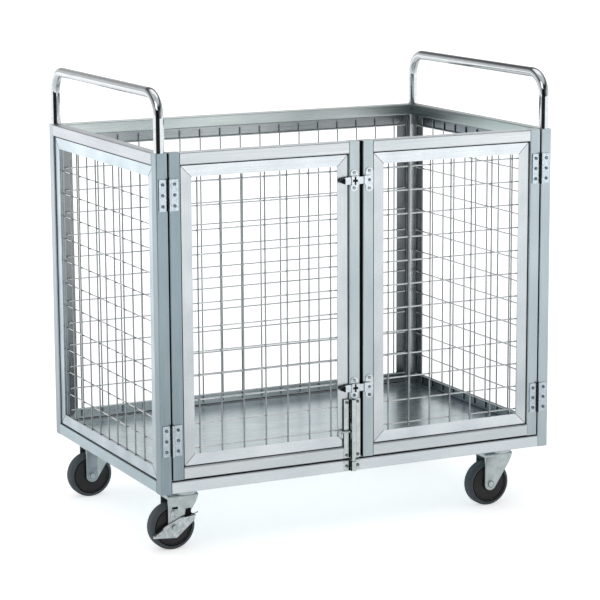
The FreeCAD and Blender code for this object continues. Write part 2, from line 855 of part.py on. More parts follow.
node(
    bolt_cover("drop_bolt_keeper", BOLT_KEEPER_Z, "bolt_keeper_height", keeper_screws, []),
    "drop_bolt_keeper",
)
for x, z in guide_screws:
    door_screws["left"].append(screw("drop_bolt_screw", x, z, "latch_sheet"))
for x, z in keeper_screws:
    frame_screws.append(screw("bolt_keeper_screw", x, z, "latch_sheet"))


def drop_bolt(name):
    """The rod, with a pin to the left whose end is bent down as a finger hook."""
    shaft = rod(
        f"{name}_shaft",
        "rod_diameter",
        "rod_length",
        (ROD_X, ROD_Y, f"{BOLT_KEEPER_Z} + bolt_keeper_height + rod_end_gap"),
    )
    bend_x = f"{ROD_X} - bolt_handle_reach + bolt_handle_bend"
    pin = rod(
        f"{name}_pin",
        "bolt_handle_pin",
        "bolt_handle_reach - bolt_handle_bend",
        (bend_x, ROD_Y, BOLT_HANDLE_Z),
        ALONG_X,
    )
    bend = doc.addObject("Part::Torus", f"{name}_bend")
    bind(bend, Radius1="bolt_handle_bend", Radius2="bolt_handle_pin / 2")
    bend.Angle3 = 90
    bend_turn = Rotation(Vector(-1, 0, 0), UP, Vector(0, 1, 0), "ZXY")
    put(bend, (bend_x, ROD_Y, f"{BOLT_HANDLE_Z} - bolt_handle_bend"), bend_turn)
    hook_x = f"{bend_x} - bolt_handle_bend"
    hook_low = f"{BOLT_HANDLE_Z} - bolt_handle_bend - bolt_handle_drop"
    hook = rod(f"{name}_hook", "bolt_handle_pin", "bolt_handle_drop", (hook_x, ROD_Y, hook_low))
    end = doc.addObject("Part::Sphere", f"{name}_end")
    bind(end, Radius="bolt_handle_pin / 2")
    put(end, (hook_x, ROD_Y, hook_low))
    return node(fuse(name, [shaft, pin, bend, hook, end]), name)


drop_bolt("drop_bolt_rod")
node(group("frame_screws", frame_screws), "frame_screws")
for side, screws in door_screws.items():
    node(group(f"{side}_door_screws", screws), f"{side}_door_screws")

# Casters: a plate under a bearer, a swivel fork, an axle bolt, a hub and a tyre

CASTER_X = {"left": f"{LEFT} + caster_inset_x", "right": f"{RIGHT} - caster_inset_x"}
CASTER_Y = {"front": f"{FRONT} + caster_inset_y", "rear": f"{BACK} - caster_inset_y"}
BRAKED = ("front_left", "rear_right")
AXLE_Z = "wheel_diameter / 2"
TYRE_BORE = "wheel_diameter - 2 * tyre_wall"
BOLT_HOLE = "caster_bolt + 2 * caster_bolt_play"


def caster_bolt_places(x, y):
    return [
        (f"{x} {along} caster_bolt_pitch_x / 2", f"{y} {across} caster_bolt_pitch_y / 2")
        for along in "+-"
        for across in "+-"
    ]


def caster_plate(name, x, y):
    plate = box(
        f"{name}_plate",
        ("caster_plate_length", "caster_plate_width", "caster_plate_thick"),
        (f"{x} - caster_plate_length / 2", f"{y} - caster_plate_width / 2", PLATE_Z),
    )
    race = doc.addObject("Part::Cone", f"{name}_race")
    bind(race, Radius1="race_diameter / 2 - race_flare", Radius2="race_diameter / 2")
    bind(race, Height="race_height")
    put(race, (x, y, f"{DISC_TOP} + swivel_gap"))
    holes = [
        rod(f"{name}_hole", BOLT_HOLE, "caster_plate_thick", (bolt_x, bolt_y, PLATE_Z))
        for bolt_x, bolt_y in caster_bolt_places(x, y)
    ]
    return cut(name, fuse(f"{name}_blank", [plate, race]), holes)


def caster_bolt(name, x, y):
    low = f"{PLATE_Z} - caster_bolt_head_height"
    nut_z = f"{BASE} + bearer_sheet"
    pieces = [
        hexagon(f"{name}_head", "caster_bolt_head", "caster_bolt_head_height", (x, y, low)),
        rod(f"{name}_shank", "caster_bolt", f"{nut_z} - ({PLATE_Z})", (x, y, PLATE_Z)),
        hexagon(f"{name}_nut", "caster_bolt_head", "caster_bolt_head_height", (x, y, nut_z)),
    ]
    return fuse(name, pieces)


def deck_bearer(name, x):
    """A channel from front rail to rear rail under the deck, drilled for the casters."""
    start_x = f"{x} - bearer_width / 2"
    start_y = f"{FRONT} + tube_side"
    channel = box(
        f"{name}_channel",
        ("bearer_width", INNER_DEPTH, "tube_side - deck_sheet"),
        (start_x, start_y, BASE),
    )
    hollow = box(
        f"{name}_hollow",
        ("bearer_width - 2 * bearer_sheet", INNER_DEPTH, "tube_side"),
        (f"{start_x} + bearer_sheet", start_y, f"{BASE} + bearer_sheet"),
    )
    holes = [
        rod(f"{name}_hole", BOLT_HOLE, "bearer_sheet", (bolt_x, bolt_y, BASE))
        for y in CASTER_Y.values()
        for bolt_x, bolt_y in caster_bolt_places(x, y)
    ]
    return cut(name, channel, [hollow] + holes)


def fork_sheet_metal(name, x, y, braked):
    """A pressed fork: upright rear edge with a flange, slanted skirt in front, round ends about the axle.

    A braked fork has a slot for the brake's spring.
    """
    body = doc.addObject("PartDesign::Body", name)
    side = sketch_on(body, "XZ_Plane", f"{name}_side")
    trail = SIZES["caster_trail"]
    axle_z = SIZES["wheel_diameter"] / 2
    end = SIZES["fork_end_radius"]
    top = SIZES["wheel_diameter"] + SIZES["wheel_headroom"] + SIZES["fork_sheet"]
    lip = Vector(SIZES["crown_front"], top - SIZES["crown_lip"], 0)
    skirt = Vector(SIZES["fork_skirt_x"], axle_z + SIZES["fork_skirt_rise"], 0)
    centre = Vector(-trail, axle_z, 0)
    reach = skirt - centre
    tangent = math.atan2(reach.y, reach.x) - math.acos(end / reach.Length)
    touch = centre + Vector(math.cos(tangent), math.sin(tangent), 0) * end
    rear_top = Vector(-trail - end, top, 0)
    rear_low = Vector(-trail - end, axle_z, 0)
    front_top = Vector(lip.x, top, 0)
    round_end = Part.ArcOfCircle(Part.Circle(centre, UP, end), math.pi, 2 * math.pi + tangent)
    side.addGeometry(
        [
            Part.LineSegment(rear_top, rear_low),
            round_end,
            Part.LineSegment(touch, skirt),
            Part.LineSegment(skirt, lip),
            Part.LineSegment(lip, front_top),
            Part.LineSegment(front_top, rear_top),
        ],
        False,
    )
    rear_edge, arc, leg_edge, slant, lip_edge, top_edge = range(6)
    side.addConstraint(
        [
            Sketcher.Constraint("Tangent", rear_edge, 2, arc, 1),
            Sketcher.Constraint("Tangent", arc, 2, leg_edge, 1),
            Sketcher.Constraint("Coincident", leg_edge, 2, slant, 1),
            Sketcher.Constraint("Coincident", slant, 2, lip_edge, 1),
            Sketcher.Constraint("Coincident", lip_edge, 2, top_edge, 1),
            Sketcher.Constraint("Coincident", top_edge, 2, rear_edge, 1),
            Sketcher.Constraint("Vertical", rear_edge),
            Sketcher.Constraint("Horizontal", top_edge),
        ]
    )
    fix_point(side, arc, 3, ("-caster_trail", AXLE_Z))
    radius = side.addConstraint(Sketcher.Constraint("Radius", arc, end))
    side.setExpression(f"Constraints[{radius}]", sized("fork_end_radius"))
    fix_point(side, leg_edge, 2, ("fork_skirt_x", f"{AXLE_Z} + fork_skirt_rise"))
    fix_point(side, lip_edge, 1, ("crown_front", f"{CROWN_TOP} - crown_lip"))
    fix_point(side, top_edge, 1, ("crown_front", CROWN_TOP))
    draw_circle(side, "axle_diameter + 2 * axle_play", ("-caster_trail", AXLE_Z))
    if braked:
        slot_left = "-caster_trail + fork_slot_x - fork_slot_length / 2"
        slot_right = f"{slot_left} + fork_slot_length"
        slot_low = f"{AXLE_Z} + fork_slot_rise"
        slot_high = f"{slot_low} + fork_slot_width"
        draw_polygon(
            side,
            [(slot_left, slot_low), (slot_right, slot_low), (slot_right, slot_high), (slot_left, slot_high)],
        )
    pad(body, side, "fork_width", middle=True)
    gap = sketch_on(body, "XZ_Plane", f"{name}_gap")
    flange_front = "-caster_trail - fork_end_radius + fork_sheet"
    flange_rear = "-caster_trail - wheel_diameter"
    flange_low = f"{CROWN_TOP} - crown_flange"
    gap_front = "crown_front + wheel_diameter"
    gap_top = f"{CROWN_TOP} - fork_sheet"
    draw_polygon(
        gap,
        [
            (flange_rear, "0"),
            (gap_front, "0"),
            (gap_front, gap_top),
            (flange_front, gap_top),
            (flange_front, flange_low),
            (flange_rear, flange_low),
        ],
    )
    hollow = pocket(body, gap, "fork_width - 2 * fork_sheet", middle=True)

    def is_top_bend(edge):
        runs_along = isinstance(edge.Curve, Part.Line) and abs(edge.Curve.Direction.x) > 1 - TOLERANCE
        return runs_along and edge.Vertexes[0].Z > top - TOLERANCE

    round_edges(body, hollow, "fork_bend", is_top_bend)
    disc = sketch_on(body, "XY_Plane", f"{name}_disc", lift=CROWN_TOP)
    draw_circle(disc, "swivel_disc")
    pad(body, disc, "swivel_disc_thick")
    return put(body, (x, y, "0"))


def axle(name, x, y, head_gap):
    """A bolt through fork and hub; head_gap is the room for a pedal under its head."""
    head_y = f"{y} - fork_width / 2 - {head_gap} - axle_head_height"
    shank_y = f"{head_y} + axle_head_height"
    nut_y = f"{y} + fork_width / 2"
    pieces = [
        rod(f"{name}_head", "axle_head", "axle_head_height", (x, head_y, AXLE_Z), ALONG_Y),
        rod(f"{name}_shank", "axle_diameter", f"{nut_y} - ({shank_y})", (x, shank_y, AXLE_Z), ALONG_Y),
        hexagon(f"{name}_nut", "axle_nut", "axle_nut_height", (x, nut_y, AXLE_Z), ALONG_Y),
    ]
    return fuse(name, pieces)


def tyre(name, x, y):
    body = doc.addObject("PartDesign::Body", name)
    ring = sketch_on(body, "XZ_Plane", f"{name}_ring")
    draw_circle(ring, "wheel_diameter")
    draw_circle(ring, TYRE_BORE)
    tread = pad(body, ring, "wheel_width", middle=True)
    middle_radius = (SIZES["wheel_diameter"] - SIZES["tyre_wall"]) / 2

    def is_shoulder(edge):
        return isinstance(edge.Curve, Part.Circle) and edge.Curve.Radius > middle_radius

    round_edges(body, tread, "tyre_round", is_shoulder)
    for face, lift, back in (("front", "wheel_width / 2", False), ("rear", "-wheel_width / 2", True)):
        groove = sketch_on(body, "XZ_Plane", f"{name}_{face}_groove", lift=lift)
        inside = f"{TYRE_BORE} + 2 * tyre_groove_inset"
        draw_circle(groove, inside)
        draw_circle(groove, f"{inside} + 2 * tyre_groove_width")
        pocket(body, groove, "tyre_groove_depth", back=back)
    return node(put(body, (x, y, AXLE_Z)), name)


def hub(name, x, y):
    """A moulded hub: a rim, a web between two dished faces, and a boss that runs on the axle."""

    def disc(part, diameter, width, shift="0"):
        start = (x, f"{y} + {shift} - ({width}) / 2", AXLE_Z)
        return rod(f"{name}_{part}", diameter, width, start, ALONG_Y)

    rim = disc("rim", TYRE_BORE, "hub_width")
    dish = f"{TYRE_BORE} - 2 * hub_rim"
    dish_shift = "(hub_width - hub_recess_depth) / 2"
    dishes = [
        disc("dish", dish, "hub_recess_depth", dish_shift),
        disc("dish", dish, "hub_recess_depth", f"-{dish_shift}"),
    ]
    boss = disc("boss", "hub_boss", "hub_boss_width")
    bore = disc("bore", "axle_diameter + 2 * axle_play", "hub_boss_width")
    dished = cut(f"{name}_dished", rim, dishes)
    return node(cut(name, fuse(f"{name}_blank", [dished, boss]), [bore]), name)


def brake_pedal(name, x, y):
    """A stamped rocker on the axle: one sloping cheek, and a tread along each end's upper edge."""
    body = doc.addObject("PartDesign::Body", name)
    toe = ("-pedal_toe_reach", "-pedal_toe_drop")
    waist = ("-pedal_waist_x", "pedal_waist_rise")
    tail = ("pedal_tail_reach", "pedal_tail_rise")
    shoulder = ("pedal_shoulder_x", "pedal_shoulder_rise")
    cheek = sketch_on(body, "XZ_Plane", f"{name}_cheek")
    draw_polygon(
        cheek,
        [
            toe,
            ("-pedal_toe_reach", "-pedal_toe_drop - pedal_toe_lip"),
            ("pedal_sole_x", "-pedal_sole_drop"),
            ("pedal_tail_reach", "pedal_tail_rise - pedal_tail_lip"),
            tail,
            shoulder,
            waist,
        ],
    )
    pad(body, cheek, "pedal_sheet")
    for end, tip, root in (("toe", toe, waist), ("tail", tail, shoulder)):
        run = f"(({root[0]}) - ({tip[0]}))"
        rise = f"(({root[1]}) - ({tip[1]}))"
        share = f"pedal_tread_length / sqrt({run} ^ 2 + {rise} ^ 2)"
        inner = (f"{tip[0]} + {run} * {share}", f"{tip[1]} + {rise} * {share}")
        tread = sketch_on(body, "XZ_Plane", f"{name}_{end}_tread")
        draw_polygon(
            tread,
            [
                tip,
                inner,
                (inner[0], f"{inner[1]} - pedal_sheet"),
                (tip[0], f"{tip[1]} - pedal_sheet"),
            ],
        )
        pad(body, tread, "pedal_tread")
    hole = sketch_on(body, "XZ_Plane", f"{name}_hole")
    draw_circle(hole, "axle_diameter + 2 * axle_play")
    pocket(body, hole, "pedal_sheet", back=True)
    return node(put(body, (x, f"{y} - fork_width / 2 - pedal_play", AXLE_Z)), name)


bearers = [deck_bearer(f"{side}_deck_bearer", x) for side, x in CASTER_X.items()]
node(group("deck_bearers", bearers), "deck_bearers")
plates = []
bolts = []
for end, y in CASTER_Y.items():
    for side, x in CASTER_X.items():
        corner = f"{end}_{side}"
        axle_x = f"{x} - caster_trail"
        braked = corner in BRAKED
        plates.append(caster_plate(f"{corner}_caster_plate", x, y))
        for bolt_x, bolt_y in caster_bolt_places(x, y):
            bolts.append(caster_bolt(f"{corner}_caster_bolt", bolt_x, bolt_y))
        fork = fork_sheet_metal(f"{corner}_fork_sheet", x, y, braked)
        head_gap = "(pedal_sheet + 2 * pedal_play)" if braked else "0"
        bolt = axle(f"{corner}_axle", axle_x, y, head_gap)
        node(group(f"{corner}_fork", [fork, bolt]), f"{corner}_fork")
        hub(f"{corner}_hub", axle_x, y)
        tyre(f"{corner}_tyre", axle_x, y)
        if braked:
            brake_pedal(f"{corner}_brake_pedal", axle_x, y)
node(group("caster_plates", plates), "caster_plates")
node(group("caster_bolts", bolts), "caster_bolts")

# Recompute, test every object, then write one file for each sub-part

doc.recompute()
failed = [piece.Name for piece in doc.Objects if {"Invalid", "Error"} & set(piece.State)]
failed += [piece.Label for piece in nodes if piece.Shape.isNull() or not piece.Shape.isValid()]
if failed:
    raise SystemExit("failed: " + ", ".join(failed))
os.makedirs("parts", exist_ok=True)
for piece in nodes:
    piece.Shape.exportStep(f"parts/{piece.Label}.step")
print(len(nodes), "sub-parts,", sum(len(piece.Shape.Solids) for piece in nodes), "solids")
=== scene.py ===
# %% [markdown]
# # Wire cage cart
# A stainless cage on casters: square tube, flat bar, welded wire, bought-in hinges and bolts. The solids
# come in as a fixed frame, in metres, with the doors facing -Y. This lesson gives each finish its own
# material and adds the small pieces that the solids leave out.

# %% Load the frame
import bpy
import bmesh
import math
from mathutils import Euler, Matrix, Vector


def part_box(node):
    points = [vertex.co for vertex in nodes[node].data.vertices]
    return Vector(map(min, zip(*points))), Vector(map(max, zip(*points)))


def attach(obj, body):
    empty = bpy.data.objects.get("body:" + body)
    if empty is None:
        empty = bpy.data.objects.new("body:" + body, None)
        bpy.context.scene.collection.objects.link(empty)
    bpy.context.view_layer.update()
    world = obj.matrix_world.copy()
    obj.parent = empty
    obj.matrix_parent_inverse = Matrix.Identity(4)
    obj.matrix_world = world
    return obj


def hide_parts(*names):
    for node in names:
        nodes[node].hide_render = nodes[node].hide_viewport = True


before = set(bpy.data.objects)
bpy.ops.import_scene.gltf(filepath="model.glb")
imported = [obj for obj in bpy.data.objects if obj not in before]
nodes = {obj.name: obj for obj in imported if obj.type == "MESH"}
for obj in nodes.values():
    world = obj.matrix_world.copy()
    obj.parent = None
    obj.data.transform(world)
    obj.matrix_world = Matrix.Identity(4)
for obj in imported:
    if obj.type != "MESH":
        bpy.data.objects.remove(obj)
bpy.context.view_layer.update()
MM = 0.001

# %% [markdown]
# ## Camera
# A long lens from the left of the front, looking a little down, as for a catalogue. The angles and the
# place were solved from the corners of the frame. The camera is pitched and has no shift, so that other
# views stay centred.

# %% Camera
YAW, PITCH, ROLL = (math.radians(angle) for angle in (26.01, 10.70, 0.30))
CAMERA_PLACE = Vector((-2.2749, -4.6676, 1.4328))
FOCAL_PIXELS = 2397.4
PICTURE_PIXELS = 600

camera_data = bpy.data.cameras.new("catalogue_camera")
camera = bpy.data.objects.new("catalogue_camera", camera_data)
bpy.context.scene.collection.objects.link(camera)
camera_data.lens = camera_data.sensor_width * FOCAL_PIXELS / PICTURE_PIXELS
turn = Euler((math.pi / 2 - PITCH, 0, -YAW)).to_matrix() @ Matrix.Rotation(-ROLL, 3, "Z")
camera.matrix_world = Matrix.Translation(CAMERA_PLACE) @ turn.to_4x4()
bpy.context.scene.camera = camera
bpy.context.scene.view_settings.view_transform = "Standard"
print("lens", round(camera_data.lens, 1), "mm")

# %% [markdown]
# ## Nodes and colours
# Every finish below is a small tree of shader nodes. One function adds a node with its settings and
# links. Colours are written as sRGB hex values, as a paint chart gives them, and turned to linear once.

# %% Helpers for materials


def linear(hex_colour):
    """An sRGB hex colour as linear red, green, blue and alpha."""
    shares = [int(hex_colour[i : i + 2], 16) / 255 for i in (1, 3, 5)]
    return [s / 12.92 if s <= 0.04045 else ((s + 0.055) / 1.055) ** 2.4 for s in shares] + [1.0]


def add_node(tree, kind, links=None, values=None, **settings):
    node = tree.nodes.new(kind)
    for name, setting in settings.items():
        setattr(node, name, setting)
    for socket, value in (values or {}).items():
        node.inputs[socket].default_value = value
    for socket, source in (links or {}).items():
        tree.links.new(source, node.inputs[socket])
    return node


def new_material(name):
    material = bpy.data.materials.new(name)
    material.use_nodes = True
    tree = material.node_tree
    tree.nodes.clear()
    shader = add_node(tree, "ShaderNodeBsdfPrincipled")
    add_node(tree, "ShaderNodeOutputMaterial", {"Surface": shader.outputs["BSDF"]})
    place = add_node(tree, "ShaderNodeTexCoord").outputs["Object"]
    return material, tree, shader, place


def grain(tree, place, size_mm, detail=2.0):
    """Noise whose lumps are size_mm long along X, Y and Z; stretched lumps read as brush lines."""
    scale = [1 / (length * MM) for length in size_mm]
    mapped = add_node(tree, "ShaderNodeMapping", {"Vector": place}, {"Scale": scale})
    noise = add_node(
        tree,
        "ShaderNodeTexNoise",
        {"Vector": mapped.outputs["Vector"]},
        {"Scale": 1.0, "Detail": detail, "Roughness": 0.55},
    )
    return noise.outputs["Fac"]


def spread(tree, source, low, high, start=0.3, end=0.7):
    """A noise value, mostly between start and end, brought to the range low to high."""
    ranged = add_node(
        tree,
        "ShaderNodeMapRange",
        {"Value": source},
        {"From Min": start, "From Max": end, "To Min": low, "To Max": high},
    )
    return ranged.outputs["Result"]


def mix_colour(tree, share, first, second):
    """Two colours, each a hex value or a socket, mixed by a share."""
    mix = add_node(tree, "ShaderNodeMix", {0: share}, data_type="RGBA")
    for socket, colour in ((6, first), (7, second)):
        if isinstance(colour, str):
            mix.inputs[socket].default_value = linear(colour)
        else:
            tree.links.new(colour, mix.inputs[socket])
    return mix.outputs[2]


def bump(tree, shader, height, depth_mm, strength):
    raised = add_node(
        tree, "ShaderNodeBump", {"Height": height}, {"Distance": depth_mm * MM, "Strength": strength}
    )
    tree.links.new(raised.outputs["Normal"], shader.inputs["Normal"])


def dress(material, *names):
    """Give some CAD nodes this material."""
    for name in names:
        nodes[name].data.materials.clear()
        nodes[name].data.materials.append(material)


# %% [markdown]
# ## Studio
# The cart was shot on white. The floor is pale and keeps a soft shadow. A plain white room would leave
# bare metal flat, so the light is graded as in a studio: white behind the cart, dimmer towards the
# camera, with a bright side to the right, a dark ring above and a pale ceiling. In reflections the
# floor gets whiter with distance, so upright faces grow paler towards the top. Near the camera it ends
# at a dark room, which gives the round bright pieces their dark band.

# %% Floor
FLOOR_SIDE, FLOOR_CELLS, FLOOR_ROUGH = 260.0, 8, 0.9
FLOOR_WHITE, ROOM_DARK = "#F2F3F3", "#15181A"
NEAR_LIFT, FAR_LIFT, NEAR, FAR = 0.58, 0.85, 0.8, 3.5
NEAR_GLOW, FAR_GLOW, GLOW_NEAR, GLOW_FAR = 0.32, 1.02, 1.0, 4.5
ROOM_WAY, ROOM_EDGE, ROOM_CORE = (-0.64, -0.77, 0.0), 0.72, 0.80
SHEET_END, ROOM_START = 3.9, 4.15

bpy.ops.object.select_all(action="DESELECT")
bpy.ops.mesh.primitive_grid_add(x_subdivisions=FLOOR_CELLS, y_subdivisions=FLOOR_CELLS, size=FLOOR_SIDE)
floor = bpy.context.object
floor.name = "studio_floor"
floor_paint, tree, shader, place = new_material("matt_white_floor")
shader.inputs["Roughness"].default_value = FLOOR_ROUGH
shader.inputs["Emission Color"].default_value = linear("#FFFFFF")
ray = add_node(tree, "ShaderNodeLightPath")
reach = add_node(tree, "ShaderNodeVectorMath", {0: place}, operation="LENGTH").outputs["Value"]
bearing = add_node(tree, "ShaderNodeVectorMath", {0: place}, operation="NORMALIZE").outputs["Vector"]
facing = add_node(tree, "ShaderNodeVectorMath", {0: bearing}, {1: ROOM_WAY}, operation="DOT_PRODUCT")
sideways = spread(tree, facing.outputs["Value"], 0.0, 1.0, ROOM_EDGE, ROOM_CORE)
onward = spread(tree, reach, 0.0, 1.0, SHEET_END, ROOM_START)
bent = add_node(
    tree,
    "ShaderNodeMath",
    {0: ray.outputs["Is Glossy Ray"], 1: ray.outputs["Is Transmission Ray"]},
    operation="MAXIMUM",
).outputs[0]
room_end = add_node(tree, "ShaderNodeMath", {0: sideways, 1: onward}, operation="MULTIPLY").outputs[0]
room = add_node(tree, "ShaderNodeMath", {0: room_end, 1: bent}, operation="MULTIPLY").outputs[0]
tree.links.new(mix_colour(tree, room, FLOOR_WHITE, ROOM_DARK), shader.inputs["Base Color"])
glow = spread(tree, reach, NEAR_GLOW, FAR_GLOW, GLOW_NEAR, GLOW_FAR)
seen_glow = add_node(tree, "ShaderNodeMath", {0: bent, 1: glow}, operation="MULTIPLY").outputs[0]
sheet = spread(tree, room, 1.0, 0.0, 0.0, 1.0)
bent_lift = add_node(tree, "ShaderNodeMath", {0: seen_glow, 1: sheet}, operation="MULTIPLY").outputs[0]
white = spread(tree, reach, NEAR_LIFT, FAR_LIFT, NEAR, FAR)
lift = add_node(
    tree,
    "ShaderNodeMath",
    {0: ray.outputs["Is Camera Ray"], 1: white, 2: bent_lift},
    operation="MULTIPLY_ADD",
)
tree.links.new(lift.outputs[0], shader.inputs["Emission Strength"])
floor.data.materials.append(floor_paint)
print("floor", FLOOR_SIDE, "m")

# %% Sky and lamps
BEHIND_CAMERA, BEHIND_CART, DIM_EDGE, WHITE_EDGE = 0.20, 0.85, -0.75, 0.15
RIGHT_LEVEL, RIGHT_EDGE, RIGHT_CORE = 0.60, 0.30, 0.70
FLAG_EDGE, FLAG_CORE, FLAG_LEVEL = 0.74, 0.86, 0.05
SHEET_TOP, CEILING, CEILING_LEVEL = 0.22, 0.50, 0.15
OVERHEAD_EDGE, OVERHEAD, OVERHEAD_LEVEL = 0.62, 0.80, 0.80
world = bpy.data.worlds.new("studio")
bpy.context.scene.world = world
world.use_nodes = True
tree = world.node_tree
tree.nodes.clear()
way = add_node(tree, "ShaderNodeTexCoord").outputs["Generated"]
axes = add_node(tree, "ShaderNodeSeparateXYZ", {"Vector": way})
behind = spread(tree, axes.outputs["Y"], BEHIND_CAMERA, BEHIND_CART, DIM_EDGE, WHITE_EDGE)
right_box = spread(tree, axes.outputs["X"], 0.0, RIGHT_LEVEL, RIGHT_EDGE, RIGHT_CORE)
white = add_node(tree, "ShaderNodeMath", {0: behind, 1: right_box}, operation="ADD", use_clamp=True)
flag_side = add_node(tree, "ShaderNodeVectorMath", {0: way}, {1: ROOM_WAY}, operation="DOT_PRODUCT")
flag = spread(tree, flag_side.outputs["Value"], 1.0, FLAG_LEVEL, FLAG_EDGE, FLAG_CORE)
ceiling = spread(tree, axes.outputs["Z"], 1.0, CEILING_LEVEL, SHEET_TOP, CEILING)
shade = add_node(tree, "ShaderNodeMath", {0: flag, 1: ceiling}, operation="MULTIPLY").outputs[0]
walls = add_node(tree, "ShaderNodeMath", {0: white.outputs[0], 1: shade}, operation="MULTIPLY").outputs[0]
overhead = spread(tree, axes.outputs["Z"], 0.0, OVERHEAD_LEVEL, OVERHEAD_EDGE, OVERHEAD)
level = add_node(tree, "ShaderNodeMath", {0: walls, 1: overhead}, operation="MAXIMUM")
sky = add_node(
    tree, "ShaderNodeBackground", {"Strength": level.outputs[0]}, {"Color": linear("#FFFFFF")}
)
add_node(tree, "ShaderNodeOutputWorld", {"Surface": sky.outputs["Background"]})


def soft_box(name, place, target, width, height, watts):
    lamp = bpy.data.lights.new(name, "AREA")
    lamp.shape = "RECTANGLE"
    lamp.size, lamp.size_y = width, height
    lamp.energy = watts
    holder = bpy.data.objects.new(name, lamp)
    bpy.context.scene.collection.objects.link(holder)
    holder.location = place
    holder.rotation_euler = (Vector(target) - Vector(place)).to_track_quat("-Z", "Y").to_euler()


CART_MIDDLE = (0, 0, 0.5)
LAMPS = {"key_light": ((-2.6, -2.2, 3.2), 2.4, 1.8, 25), "top_light": ((0.4, 0.6, 3.6), 2.8, 2.0, 12)}
for lamp_name, (lamp_place, width, height, watts) in LAMPS.items():
    soft_box(lamp_name, lamp_place, CART_MIDDLE, width, height, watts)
print("sky and", len(LAMPS), "lamps")

# %% [markdown]
# ## Stainless tube
# The frame is drawn stainless tube, polished along its length with a fine belt. The belt leaves long
# hairlines that spread a highlight across them. Real lines are about 0.1 mm apart, too fine for this
# picture, so they are drawn about 1 mm wide. Cloudy patches show where the belt pressed harder. The tubes
# differ in tone from place to place, partly by the light in the cage, so each place has its own tint.

# %% Tube finish
LINE_WIDTH, LINE_LENGTH = 1.1, 160
CLOUD_WIDTH, CLOUD_LENGTH = 70, 190
STREAK, BRUSH_DEPTH, BRUSH_STRENGTH = 0.16, 0.05, 0.25
AXES = "XYZ"
# The dark tone that painted shade fades to.
SHADE_TONE = "#2A3237"
OUTER_TUBE = "#A9B7BD"
SKIN = 0.5 * MM


def brush_lines(tree, place, along):
    size = [LINE_WIDTH] * 3
    size[AXES.index(along)] = LINE_LENGTH
    return grain(tree, place, size, detail=3.0)


def shaded_along(tree, place, tint, axis, share, start, end):
    """Painted shade: a tint that darkens along an axis, for the shade deep in the cage."""
    across = add_node(tree, "ShaderNodeSeparateXYZ", {"Vector": place}).outputs[axis]
    return mix_colour(tree, spread(tree, across, 0.0, share, start, end), tint, SHADE_TONE)


def outer_faces(tree, place, node):
    """One on the right and rear faces of a tube."""
    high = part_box(node)[1]
    axes = add_node(tree, "ShaderNodeSeparateXYZ", {"Vector": place})
    faces = []
    for axis, limit in zip("XY", high):
        past = add_node(
            tree, "ShaderNodeMath", {0: axes.outputs[axis]}, {1: limit - SKIN}, operation="GREATER_THAN"
        )
        faces.append(past.outputs[0])
    either = add_node(tree, "ShaderNodeMath", {0: faces[0], 1: faces[1]}, operation="MAXIMUM")
    return either.outputs[0]


def brushed_steel(name, along, dark, pale, smooth=0.24, rough=0.40, dull=None, grey_outside=None):
    """Belt-polished metal. dull is painted shade along an axis; grey_outside names a tube greyer outside.
    """
    material, tree, shader, place = new_material(name)
    lines = brush_lines(tree, place, along)
    cloud_size = [CLOUD_WIDTH] * 3
    cloud_size[AXES.index(along)] = CLOUD_LENGTH
    clouds = grain(tree, place, cloud_size)
    tint = mix_colour(tree, spread(tree, clouds, 0, 1), dark, pale)
    if dull:
        tint = shaded_along(tree, place, tint, *dull)
    if grey_outside:
        tint = mix_colour(tree, outer_faces(tree, place, grey_outside), tint, OUTER_TUBE)
    streak = spread(tree, lines, 0.0, STREAK)
    tree.links.new(mix_colour(tree, streak, tint, "#FFFFFF"), shader.inputs["Base Color"])
    tree.links.new(spread(tree, lines, smooth, rough), shader.inputs["Roughness"])
    shader.inputs["Metallic"].default_value = 1.0
    bump(tree, shader, lines, BRUSH_DEPTH, BRUSH_STRENGTH)
    return material


SIDES, ENDS = ("left", "right"), ("front", "rear")
# The rear right post's pale tint is partly painted light on the faces towards the cage; its right and rear
# faces get a greyer tube tone.
GREY_OUTSIDE = {"rear_right_upright": "post_rear_right"}
# Painted shade: the rear top rail darkens towards the right, the right top rail towards the rear.
SHADED_TUBES = {"rear_cross": ("X", 0.30, -0.10, 0.45), "right_side": ("Y", 0.80, -0.10, 0.29)}
TUBES = {
    "hinge_side_upright": ("Z", "#7E9199", "#8D9FA7", ["post_front_left", "left_door_hinge_stile"]),
    "latch_upright": ("Z", "#A6B5BB", "#B8C5C8", ["left_door_latch_stile", "right_door_latch_stile"]),
    "far_upright": ("Z", "#A1B0B6", "#B2C0C5", ["post_front_right", "right_door_hinge_stile"]),
    "rear_left_upright": ("Z", "#98A5AF", "#A9B4BC", ["post_rear_left"]),
    "rear_right_upright": ("Z", "#ECF2F4", "#FAFDFD", ["post_rear_right"]),
    "door_cross": ("X", "#C7CFD3", "#D6DBDE", ["left_door_rails", "right_door_rails"]),
    "base_cross": ("X", "#CED8DE", "#DFE5E9", ["base_rail_front", "base_rail_rear"]),
    "rear_cross": ("X", "#CFDAD9", "#E1EBE8", ["top_rail_rear"]),
    "low_side": ("Y", "#AABDC5", "#BDCFD6", ["base_rail_left", "base_rail_right"]),
    "left_side": ("Y", "#B1B7BE", "#C2C7CC", ["top_rail_left"]),
    "right_side": ("Y", "#A4B5B5", "#B7C5C5", ["top_rail_right"]),
}
for place_name, (along, dark, pale, names) in TUBES.items():
    dull = SHADED_TUBES.get(place_name)
    grey_outside = GREY_OUTSIDE.get(place_name)
    material = brushed_steel(
        f"belt_polished_tube_{place_name}", along, dark, pale, dull=dull, grey_outside=grey_outside
    )
    dress(material, *names)
print("tube finish on", sum(1 for n in nodes.values() if "tube" in n.data.materials[0].name), "nodes")
